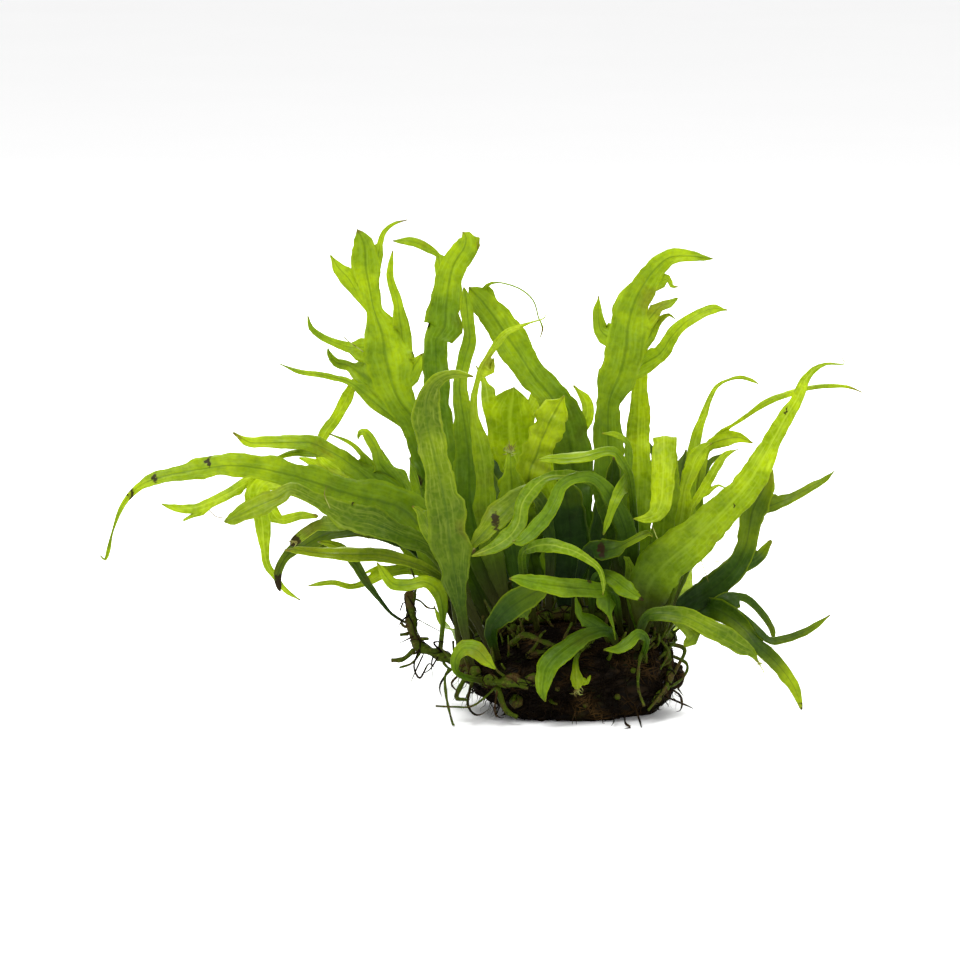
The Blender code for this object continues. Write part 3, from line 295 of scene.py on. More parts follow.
def across_place(row, share, seed, crumple):
    """A vertex's place in a row: cupped, with a raised midrib and a waving, ruffled margin."""
    edge = abs(share)
    lean = RIGHT_NOISE if share > 0 else 0
    wave = noise.noise(Vector((row.along / MARGIN_WAVE, seed, lean)))
    tooth = noise.noise(Vector((row.along / MARGIN_TOOTH, seed + TOOTH_NOISE, lean)))
    ragged = MARGIN_WAVE_DEPTH * wave + MARGIN_TOOTH_DEPTH * crumple * tooth
    out = 1 + ragged * edge * min(1, row.half / NARROW_HALF)
    ruffle = noise.noise(Vector((row.along / RUFFLE_WAVE, seed + RUFFLE_NOISE, lean)))
    fold = noise.noise(Vector((row.along / CRINKLE_WAVE, seed + CRINKLE_NOISE, share * CRINKLE_SPAN)))
    lift = row.half * (sizes().cup * (edge - 0.5) + sizes().ruffle * ruffle * edge ** 2)
    lift += row.half * CRINKLE_DEPTH * crumple * fold
    rib = sizes().rib_height * max(0, 1 - edge / RIB_SHARE)
    return row.middle + row.side * row.half * share * out + row.front * (lift + rib)


def leaf_width(width):
    """A blade's width in metres from a plan's in mm. Ends under 1 mm wide are drawn out to threads."""
    fine = min(1, max(0, (width - THREAD_END) / (THREAD_START - THREAD_END)))
    return width * fine * MM


class Blade:
    """The open surface of a frond while it grows."""

    def __init__(self, seed):
        self.shape = bmesh.new()
        self.leaf_map = self.shape.loops.layers.uv.new("leaf")
        self.age_map = self.shape.loops.layers.uv.new("age")
        self.weights = self.shape.verts.layers.deform.verify()
        self.seed = seed
        self.tone = random.Random(seed).random()
        self.crumple = 1

    def start(self, row):
        """The first row of vertices, joined by edges."""
        verts = [self.shape.verts.new((number, 0, 0)) for number in range(len(BLADE_SHARES))]
        for a, b in zip(verts, verts[1:]):
            self.shape.edges.new((a, b))
        self.place(verts, row)
        return verts

    def place(self, verts, row):
        for vert, share in zip(verts, shares_for(len(verts))):
            vert.co = across_place(row, share, self.seed, self.crumple)
            self.weigh(vert, row, share)

    def weigh(self, vert, row, share):
        """Thick stalks and midribs, thin margins."""
        stalk = max(0, 1 - row.along / STALK_LENGTH)
        rib = max(0, 1 - abs(share) / RIB_REACH) * RIB_WEIGHT
        thin = sizes().margin_share
        thick = min(1, max(thin, thin + (1 - abs(share)) * INNER_WEIGHT + rib, stalk))
        vert[self.weights][0] = min(thick, LEAST_WEIGHT + 2 * row.half / sizes().leaf_thickness)

    def extend(self, last, row, margin_start=None, blend=1.0):
        """Extrudes the last row to the next and maps the new faces."""
        edges = [self.shape.edges.get((a, b)) for a, b in zip(last, last[1:])]
        made = bmesh.ops.extrude_edge_only(self.shape, edges=edges)["geom"]
        fresh = {vert for vert in made if isinstance(vert, bmesh.types.BMVert)}
        follow = []
        for vert in last:
            follow.append(next(edge.other_vert(vert) for edge in vert.link_edges
                               if edge.other_vert(vert) in fresh))
        self.place(follow, row)
        if margin_start:
            middle, margin = margin_start
            for vert, origin in zip(follow, margin):
                vert.co = (row.middle + origin - middle).lerp(vert.co, blend)
        return follow

    def map_faces(self, last, follow, before, row):
        """Lays both maps over the faces between two rows."""
        shares = shares_for(len(last))
        for number in range(len(last) - 1):
            face = self.shape.edges.get((follow[number], follow[number + 1])).link_faces[0]
            places = {last[number]: (shares[number], before), last[number + 1]: (shares[number + 1], before),
                      follow[number]: (shares[number], row), follow[number + 1]: (shares[number + 1], row)}
            for loop in face.loops:
                share, here = places[loop.vert]
                loop[self.leaf_map].uv = (share / 2 + 0.5, here.along * LEAF_MAP_SCALE)
                loop[self.age_map].uv = (here.age, self.tone)

    def finish_tip(self, last, row):
        """Rounds off the end of a blade or lobe."""
        tangent = row.front.cross(row.side)
        for reach, taper in TIP_STEPS:
            tip = Row(row.middle + tangent * row.half * reach, row.side, row.front, row.half * taper,
                      row.along + row.half * reach, row.age)
            follow = self.extend(last, tip)
            self.map_faces(last, follow, row, tip)
            last = follow

    def run(self, first, rows, margin_start=None, web=1):
        """Grows the blade through the rows and returns every row of vertices."""
        grown = [first]
        for number in range(1, len(rows)):
            blend = smooth_step(min(1, number / web))
            follow = self.extend(grown[-1], rows[number], margin_start if number <= web else None, blend)
            self.map_faces(grown[-1], follow, rows[number - 1], rows[number])
            grown.append(follow)
        self.finish_tip(grown[-1], rows[-1])
        return grown

    def add_lobes(self, grown, rows, marks, lobes):
        """Grows each lobe out of its side of the parent, between two of the parent's points."""
        for lobe in lobes:
            first, last = marks[lobe["first"]], marks[lobe["first"] + 1]
            edge = 0 if lobe["side"] == "left" else -1
            margin = [verts[edge] for verts in grown[first:last + 1]]
            if lobe["side"] == "right":
                margin.reverse()
            origins = [vert.co.copy() for vert in margin]
            middle = sum(origins, Vector()) / len(origins)
            points = [middle] + [seen(*step[:3]) for step in lobe["path"]]
            chord = (origins[-1] - origins[0]).length
            widths = [chord] + [leaf_width(step[3]) for step in lobe["path"]]
            parent = rows[(first + last) // 2]
            turns = [lobe["turns"][0]] + list(lobe["turns"])
            if len(points) < 3:
                points.insert(1, points[0].lerp(points[1], 0.5))
                widths.insert(1, min(widths[0], widths[1] * 2))
            lobe_rows, lobe_marks = fine_rows(points, widths, turns, parent.along, (parent.age, 1))
            branch_grown = self.run(margin, lobe_rows, (middle, origins), lobe_marks[1])
            self.add_lobes(branch_grown, lobe_rows, lobe_marks, lobe["lobes"])


def sunk(bark, point, depth):
    """The place nearest to the point that lies this deep in the wood or a creeping stem."""
    near, normal, _, _ = bark.find_nearest(point)
    return near - normal * depth


def frond(plan, number, bark):
    """One frond: an open blade with its lobes, thickened by Solidify, in place of its plain solid."""
    blade = Blade(number * 3.7 + 1)
    blade.tone = TONES.get(plan["name"], blade.tone)
    blade.crumple = CRUMPLED.get(plan["name"], 1)
    points = [seen(*step[:3]) for step in plan["path"]]
    widths = [leaf_width(step[3]) for step in plan["path"]]
    widths[0] = min(widths[0], sizes().stalk_width)
    points[0] = sunk(bark, points[0], FOOT_DEPTH)
    rows, marks = fine_rows(points, widths, plan["turns"], 0, (0, 1))
    grown = blade.run(blade.start(rows[0]), rows)
    blade.add_lobes(grown, rows, marks, plan["lobes"])
    bmesh.ops.recalc_face_normals(blade.shape, faces=blade.shape.faces)
    made = new_piece("leaf_" + plan["name"], blade.shape, leaf_material(plan["finish"]))
    made.vertex_groups.new(name="body")
    wall = made.modifiers.new("thickness", "SOLIDIFY")
    wall.thickness = sizes().leaf_thickness
    wall.offset = 0
    wall.vertex_group = "body"
    wall.thickness_vertex_group = 0
    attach(made, BODY)
    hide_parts("frond_" + plan["name"])
    return made


def new_piece(name, shape, surface):
    """A smooth-shaded object at the origin from a bmesh, which is freed."""
    mesh = bpy.data.meshes.new(name)
    shape.to_mesh(mesh)
    shape.free()
    mesh.shade_smooth()
    mesh.materials.append(surface)
    made = bpy.data.objects.new(name, mesh)
    bpy.context.scene.collection.objects.link(made)
    return made


def plan(name, finish, path, turns, lobes=()):
    """What one frond is grown from: path points are (across, up, back, width) in mm from foot to tip."""
    return {"name": name, "finish": finish, "path": path, "turns": turns, "lobes": lobes}


def branch(side, first, path, turns=((0, 35),), lobes=()):
    """A lobe from one side of its parent, between the parent's points first and first + 1."""
    return {"side": side, "first": first, "path": path, "turns": turns, "lobes": lobes}


def left_fronds():
    """The fronds that reach left."""
    return [
        plan("left_arch", "mature", [
            (-24, 24.5, -6, 2), (-31.5, 38.5, -7, 8), (-41, 52.5, -9, 9), (-55, 57, -11, 7),
            (-70, 61.8, -13, 5.6), (-82.5, 64, -14, 5), (-91, 63.4, -15, 4.4), (-102, 61.2, -16, 3),
            (-108, 58.6, -16.5, 2), (-112, 53.8, -17, 1.2), (-114.4, 47.5, -17, 0.8),
            (-115.4, 43, -17, 1.1), (-116.2, 40.6, -17, 0.9), (-117.4, 41.6, -17, 0.6)],
            [(0, 25), (0, 45), (0, 30)]),
        plan("left_yellow", "young", [
            (-25, 22, 10, 2), (-38, 42, 12, 5), (-48, 53, 14, 6), (-62, 59, 15, 5), (-74, 60.5, 15, 5),
            (-78, 57.5, 15, 6), (-77, 50.5, 15, 4), (-76, 40.5, 15, 2), (-74, 36.8, 15, 1.6),
            (-71.2, 33, 15, 1.4), (-67.5, 30.5, 15, 0.7)],
            [(0, 25), (0, 30), (0, 10)], [
                branch("right", 4, [(-85, 57.2, 14, 2.5), (-90, 54.8, 13, 2.4), (-95, 53.2, 13, 2.2),
                                    (-99, 53.5, 13, 1.6), (-102, 54.5, 13, 0.7)],
                       lobes=[branch("left", 2, [(-96.5, 50.5, 13, 0.8)])]),
                branch("left", 5, [(-72.5, 50.5, 14, 2), (-67.5, 51.5, 13, 2), (-63.5, 51.5, 13, 1)])]),
        plan("left_upper", "mature", [
            (-24, 25, 1, 2), (-35, 45.5, 1, 7), (-42.5, 54.2, 1, 7), (-50, 60.5, 0, 6.2),
            (-53.8, 63.5, 0, 4.5), (-57.5, 66.2, -1, 4), (-61.2, 68.2, -1, 3.6), (-65, 69.8, -2, 3.5),
            (-70, 69.8, -2, 3.4), (-75, 69.8, -3, 3), (-80, 69.8, -3, 2), (-84, 72.2, -3, 0.8)],
            [(0, 20), (0, 40), (0, 45)], [
                branch("right", 2, [(-47.5, 64.5, 1, 3), (-48.2, 67.5, 2, 2.8), (-49.5, 70.2, 3, 2.5),
                                    (-51.2, 72.4, 3, 2), (-52.6, 72.2, 3, 1.4), (-53, 70.8, 3, 0.7)]),
                branch("right", 3, [(-52, 67, -1, 1.2), (-55, 69.8, -2, 1), (-60, 72, -3, 0.7)]),
                branch("left", 6, [(-69, 67.2, -1, 1.5), (-75.5, 65.2, -1, 0.8)])]),
        plan("yellow_strap", "young", [
            (-22, 22, 13, 2), (-36, 44, 17, 5), (-44, 54, 20, 6), (-50, 59, 22, 6), (-56, 62.5, 23, 5),
            (-61, 65.5, 24, 4), (-62.5, 69, 25, 3), (-61, 72.5, 26, 3), (-58.5, 76, 27, 3),
            (-56, 80.5, 28, 3), (-54, 85, 29, 2)],
            [(0, 20), (0, 20), (10, 10)], [
                branch("left", 4, [(-64.5, 65, 23, 2), (-67.5, 66, 23, 0.8)])]),
        plan("left_folded", "grey", [
            (-22, 22.5, -11, 2), (-32.5, 41, -16, 4), (-42.5, 46.8, -18, 5), (-49.5, 49.8, -18, 7),
            (-55, 51, -19, 6), (-60, 53.5, -20, 4.5), (-65, 56, -21, 3), (-69.8, 58, -21, 3),
            (-73, 56.2, -22, 4), (-77, 54.5, -22, 5), (-81.2, 52.5, -22, 4), (-84.5, 50.8, -22, 3),
            (-86, 50.2, -22, 1)],
            [(0, 20), (0, 40), (0, 20)], [
                branch("left", 4, [(-63, 49, -18, 2.5), (-66.5, 46.8, -18, 2.5), (-69, 44.8, -18, 2)])]),
        plan("dark_ended", "shaded", [
            (-27, 21, 4, 1.5), (-36, 40, 4, 2), (-44, 45.5, 3, 2.5), (-52, 48, 3, 3.4),
            (-58.8, 47.6, 2, 4.4), (-63, 46, 2, 4.4), (-66.4, 44, 2, 3.2), (-69, 43, 1, 3),
            (-71.5, 40.5, 1, 2.2), (-73, 37, 1, 2), (-72.8, 34, 1, 1.5), (-72.5, 32.8, 1, 0.8)],
            [(0, 30), (0, 40), (0, 10)], [
                branch("left", 5, [(-60, 44.5, 3, 1.2), (-57, 43.2, 4, 0.7)])]),
        plan("pale_left", "grey", [
            (-26, 20, -11, 1.3), (-29.5, 32, -11, 1.3), (-31.2, 35.2, -11.5, 1.5),
            (-35, 37.8, -12, 2), (-38.8, 39.5, -12.5, 2.5), (-43.8, 41, -13, 3), (-48.8, 41.8, -13, 2.8),
            (-55, 41.8, -13, 2.8), (-60, 42, -13, 2.5), (-63.8, 42.2, -13, 2), (-67.5, 42.8, -13, 1.5),
            (-71.2, 43, -13, 0.7)],
            [(0, 20), (0, 50), (0, 50)]),
        plan("left_down", "shaded", [
            (-41, 24, -4, 0.8), (-44.5, 27, -4, 0.9), (-47.4, 30.4, -4, 1.1), (-49.4, 33, -4, 1.7),
            (-51.3, 35.7, -4, 2.3), (-53.9, 39.8, -4, 2.5), (-57, 43.2, -4, 2.4),
            (-60, 44.6, -4, 1.8), (-62.8, 45, -4, 0.8)],
            [(0, 10)]),
        plan("thin_left", "young", [
            (-27, 19, 7.5, 1), (-32, 33, 7, 1), (-38, 37.5, 7, 2), (-45.5, 37.5, 7, 2.6),
            (-49.5, 35.8, 6, 2.2), (-52, 34.5, 6, 1.6), (-55, 33.8, 5, 1.3), (-58.8, 34.8, 5, 1.2),
            (-62.5, 34.5, 5, 1), (-65.5, 34, 5, 0.6)],
            [(0, 40)], [
                branch("right", 3, [(-50, 37.8, 7, 0.9), (-52, 36.8, 7, 0.6)])]),
        plan("looping", "mature", [
            (-31.8, 18.5, -10, 1.1), (-31.8, 24.5, -12, 1.2), (-32.1, 29.5, -13.5, 2.8),
            (-33.2, 33, -15, 3.8), (-36.5, 35, -16, 3), (-40.2, 34.2, -16, 2.8),
            (-44.2, 34.5, -16, 2.6), (-46.6, 37.2, -16, 2), (-48.2, 39.8, -16, 0.7)],
            [(10, 10), (0, 30), (0, 30)]),
    ]


def upper_fronds():
    """The tall fronds."""
    return [
        plan("upper_left", "mature", [
            (-22, 24, 6, 3), (-30, 45, 9, 9), (-33.8, 60.5, 13, 8.2), (-36.2, 68, 15, 7.8),
            (-39.2, 75.5, 17, 7.6), (-43.5, 82, 18, 7.5), (-46, 91, 20, 12), (-47, 97, 21, 9),
            (-49, 103, 22, 4.5), (-50, 108, 22, 5.6), (-51, 113.5, 22, 7.2), (-51.3, 118.5, 22, 6.6),
            (-52.2, 121.2, 22, 4), (-53.1, 123, 22, 0.8)],
            [(0, 5), (15, 10), (-10, 5)], [
                branch("left", 4, [(-54.5, 84.5, 18, 1.5), (-58.8, 86, 17, 1.4), (-62.5, 86.8, 17, 1.3),
                                   (-67.5, 87.5, 17, 1.2), (-72.5, 89.5, 17, 0.6)]),
                branch("left", 5, [(-55, 88.8, 22, 2.5), (-58.5, 89.8, 23, 2), (-60.2, 92, 23, 1.2),
                                   (-60.5, 93.4, 23, 0.7)]),
                branch("left", 6, [(-55, 93.5, 20, 2.4), (-59, 94.8, 19, 1.9), (-62.5, 96.6, 19, 1.7),
                                   (-64.8, 98.6, 19, 1.4), (-65.5, 101.5, 19, 0.7)]),
                branch("right", 5, [(-38.5, 89.5, 19, 4), (-37, 92, 19, 0.8)]),
                branch("right", 6, [(-42.4, 99.5, 21, 4), (-43.1, 105, 21, 2.6), (-44.1, 108.1, 21, 2.3),
                                    (-45, 111.2, 21, 2), (-44.8, 114.6, 21, 1.4), (-44.3, 117.8, 21, 0.7)]),
                branch("left", 8, [(-55.2, 110.6, 22, 4.4), (-57.8, 113.4, 22, 3), (-59.8, 116.5, 22, 0.8)]),
                branch("right", 10, [(-47.5, 119.5, 22, 1.6), (-46.4, 122.6, 22, 1.2),
                                     (-44, 124.6, 22, 0.9), (-40.8, 125.5, 22, 0.6)])]),
        plan("upper_middle", "mature", [
            (-20, 25, 3, 2.5), (-22.6, 32, 3.6, 5), (-28.5, 45, 5, 8), (-31, 62, 7, 9), (-33, 78, 9, 7),
            (-33.5, 93, 11, 6), (-33.2, 96, 11.5, 6), (-31.4, 98.6, 12, 8.4), (-31, 104, 12, 8),
            (-30, 111, 12, 6.8), (-28.8, 115, 12, 6), (-26.5, 118.5, 12, 5.6), (-26, 121, 12, 4.4),
            (-26.7, 122.4, 12, 0.8)],
            [(0, 5), (-15, 5), (20, 5)], [
                branch("left", 9, [(-33, 116.6, 12, 1.2), (-35.7, 118.4, 11, 1.8), (-38, 119.5, 11, 2.2),
                                   (-40.3, 120.1, 11, 2), (-42.6, 120.2, 11, 1.1), (-44.3, 120.3, 11, 0.6)]),
                branch("right", 11, [(-23, 121, 12, 1), (-23, 118.4, 12, 0.7)])]),
        plan("inner_strap", "mature", [
            (-17, 25, -2, 2), (-24, 48, 1, 8), (-25.5, 68, 2, 7), (-27.5, 83, 3, 4),
            (-26.5, 90, 4, 3.2), (-25, 95.5, 4, 3.2), (-25.5, 101, 5, 3), (-26, 106, 5, 2.4),
            (-26.5, 108.5, 5, 0.8)],
            [(0, 0), (-25, 5), (10, 5)]),
        plan("twisted", "young", [
            (-14, 25, -6, 1.5), (-20, 45, -4, 6), (-21.5, 65, -4, 5), (-24, 78, -4, 1.8),
            (-22.7, 86.7, -4, 1.3), (-20.2, 91.6, -4, 1.3), (-16.6, 96.8, -4, 1.4),
            (-13.1, 98.6, -4, 1.2), (-10.1, 99.8, -4, 0.8), (-6.4, 101, -4, 0.7), (-6, 102.6, -4, 0.6)],
            [(0, 0), (-60, 10), (30, 10)], [
                branch("right", 4, [(-19.8, 88, -4, 2.4), (-19.2, 90.8, -4, 0.8)])]),
        plan("broad_diagonal", "mature", [
            (2, 26, 8, 2.5), (2, 45, 14, 8), (1, 62, 18, 10), (-1, 74, 20, 10), (-4.5, 81, 21, 8),
            (-9, 86.5, 22, 7), (-13, 92.5, 22, 8), (-17, 98.5, 22, 8), (-21, 104, 21, 6.8),
            (-23.6, 107, 20, 5.4), (-25, 108.4, 19, 1)],
            [(0, 5), (15, 15), (0, 10)], [
                branch("right", 8, [(-20.6, 109.2, 19, 1), (-17.8, 109.9, 18, 0.7), (-12.7, 108.4, 17, 0.7),
                                    (-9.2, 105.4, 17, 0.7), (-7.8, 101, 17, 0.7), (-6.8, 98.5, 17, 0.8),
                                    (-7.5, 96, 17, 0.6)])]),
        plan("diagonal_yellow", "young", [
            (6, 28, 17, 1.2), (5.4, 34, 19, 3), (2, 45, 24, 7), (-3, 60, 30, 9), (-4.2, 68, 33, 3),
            (0, 72, 34, 3.5), (3.8, 75.5, 35, 3.5), (4, 80, 36, 3), (1, 84, 36, 0.8)],
            [(0, 10), (20, 15)]),
        plan("grey_back", "grey", [
            (-7, 25, 11, 2), (-10, 45, 11.5, 7), (-10.4, 60, 11.5, 8), (-8.4, 67, 11.5, 7),
            (-6, 73, 11.5, 7.6), (-3.4, 78, 12, 6.6), (-1.6, 81.4, 12, 0.8)],
            [(0, 10)]),
    ]


def front_fronds():
    """The fronds of the middle, which bend toward the front."""
    return [
        plan("front_tall", "grey", [
            (-26, 20.5, -16, 1.6), (-27, 26.5, -19, 2.5), (-28.8, 36.8, -23, 7), (-30, 45.5, -25, 10),
            (-31, 53, -26.5, 9.5), (-32.5, 60.5, -28, 7.5), (-34.2, 68, -29, 7), (-35.8, 75.5, -30, 6.8),
            (-35.8, 81, -31, 5.4), (-33.8, 84.9, -33, 3.8), (-30.6, 86.8, -34, 2.4), (-27.4, 87, -35, 1.9),
            (-24.4, 86.4, -36, 0.8)],
            [(0, 5), (-10, 10), (10, -5), (0, -30)], [
                branch("left", 3, [(-37.5, 52.5, -25, 2), (-39.2, 53.8, -25, 0.8)])]),
        plan("spotted_grey", "grey", [
            (-4, 29, -3, 2), (-5, 45, -4, 3), (-7, 54, -8, 4), (-11, 56.5, -12, 5),
            (-15.8, 53, -16, 6), (-18.8, 50.2, -18, 6), (-21.2, 47.5, -20, 4.5), (-24, 44.5, -21, 2),
            (-25, 43, -21, 0.8)],
            [(0, 10), (-20, 50), (-20, 30)]),
        plan("arc_one", "young", [
            (14, 25, -3, 1.8), (12.5, 42, -8, 6), (9, 54, -12, 5), (5.5, 60, -14, 2.6),
            (1.2, 61.5, -14, 2.4), (-2.5, 61.5, -15, 2.4), (-6.2, 60.8, -17, 2.6), (-9.6, 58, -19, 3.4),
            (-12, 54.2, -21, 3.6), (-12.8, 49.8, -23, 3.6), (-15, 46.4, -25, 4), (-18.5, 44, -26, 3),
            (-21.5, 42.6, -27, 2), (-24.5, 41.5, -27, 0.7)],
            [(0, 10), (-20, 50), (-20, 20)]),
        plan("arc_two", "mature", [
            (17, 25, -6, 1.8), (15, 42, -12, 5.5), (11, 55, -18, 4), (6, 61, -21, 2.6),
            (1, 60.8, -22, 2.6), (-2.2, 58.8, -23, 3), (-3.6, 55.5, -24, 3.2), (-5.2, 52.6, -25, 3.6),
            (-7.4, 49.8, -27.5, 4), (-10, 47, -29.5, 3.6), (-12.6, 45, -30.5, 2), (-14.2, 45.2, -31, 0.7)],
            [(0, 10), (-10, 50), (-20, 20)]),
        plan("arc_three", "young", [
            (-9, 24, -11, 1.4), (-12, 40, -24, 2), (-9.5, 43.6, -32, 2.6), (-5, 44.2, -35, 3.4),
            (-2, 43.6, -36, 2.6), (1.5, 42.4, -37, 1.8), (4.8, 40.4, -38, 1.6), (7.4, 38, -38.5, 1.2),
            (8.4, 34.4, -39, 1), (8.2, 31.8, -39, 0.6)],
            [(0, 0), (0, 50), (30, 30)]),
        plan("arc_four", "mature", [
            (14, 24.5, -9, 1.6), (11, 32, -19, 2.2), (6, 33, -27, 4), (0, 33.5, -31, 4),
            (-5, 34.2, -33, 3.6), (-10, 35, -34, 3), (-13, 35.8, -34, 1.8), (-15, 35.8, -34, 0.7)],
            [(0, 20), (-10, 50)], [
                branch("left", 1, [(9.8, 27, -25, 1.2), (10.8, 24, -26.5, 0.8), (11.4, 20.6, -27, 0.6)])]),
        plan("arc_five", "mature", [
            (5, 25, -9, 1.6), (6, 35, -15, 2), (8.8, 36.6, -18, 3), (11.2, 35.4, -21, 4),
            (13.6, 33.6, -24, 4), (16, 31.8, -26, 2.4), (18.2, 30.5, -27, 0.7)],
            [(0, 10), (20, 50)]),
        plan("broken_brown", "shaded", [
            (1, 25, -6, 1.6), (2, 35, -13, 2), (5, 42.5, -18, 4), (8, 43, -20, 5), (11, 43.2, -21, 4),
            (14, 44.6, -22, 1.8), (17, 46.2, -23, 1.8), (19.5, 47.2, -23, 1.2), (20.6, 46.4, -23, 0.6)],
            [(0, 20), (0, 40)]),
        plan("level", "mature", [
            (16.5, 25, 0, 1.5), (16.5, 45, -6, 1.6), (15.4, 58, -12, 1.8), (14.5, 62.5, -15, 2),
            (13, 65, -17, 2), (11, 67.4, -19, 2.2), (8, 67.4, -20, 2.2), (4, 66.2, -21, 2.4),
            (-1.2, 65.6, -22, 2.2), (-5, 65.8, -22, 1.6), (-8, 65.4, -22, 0.7)],
            [(0, 10), (-20, 50), (0, 50)], [
                branch("left", 2, [(11.6, 56, -21.5, 2.4), (9.6, 50.5, -22, 1.8), (8.4, 47, -22, 0.8)],
                       ((-20, 10),)),
                branch("right", 3, [(14.4, 69.6, -17, 1.4), (11.6, 71.8, -18, 1.4),
                                    (8.2, 72.2, -19, 0.7)])]),
        plan("upright_short", "shaded", [
            (7, 29, -1, 1.6), (7.3, 33, -1, 4.6), (8, 45, -1, 7), (9.6, 55.5, -3, 6), (10.8, 62, -5, 3.4),
            (11, 66.5, -6, 0.8)],
            [(-10, 5)]),
        plan("crested", "mature", [
            (-10, 29, -2, 1.5), (-14, 45, -1, 7), (-14.5, 58, -2, 7), (-14.8, 64, -3, 3),
            (-15, 67.5, -3, 1.4)],
            [(10, 5)]),
        plan("shaded_middle", "shaded", [
            (-2, 25, 3, 2), (-0.8, 31, 4.4, 5.4), (-0.4, 35, 4.4, 9.4), (0, 41, 4, 11), (0, 49, 4, 11),
            (-1, 56, 4, 8), (-2, 62, 4, 1)],
            [(0, 20)]),
    ]


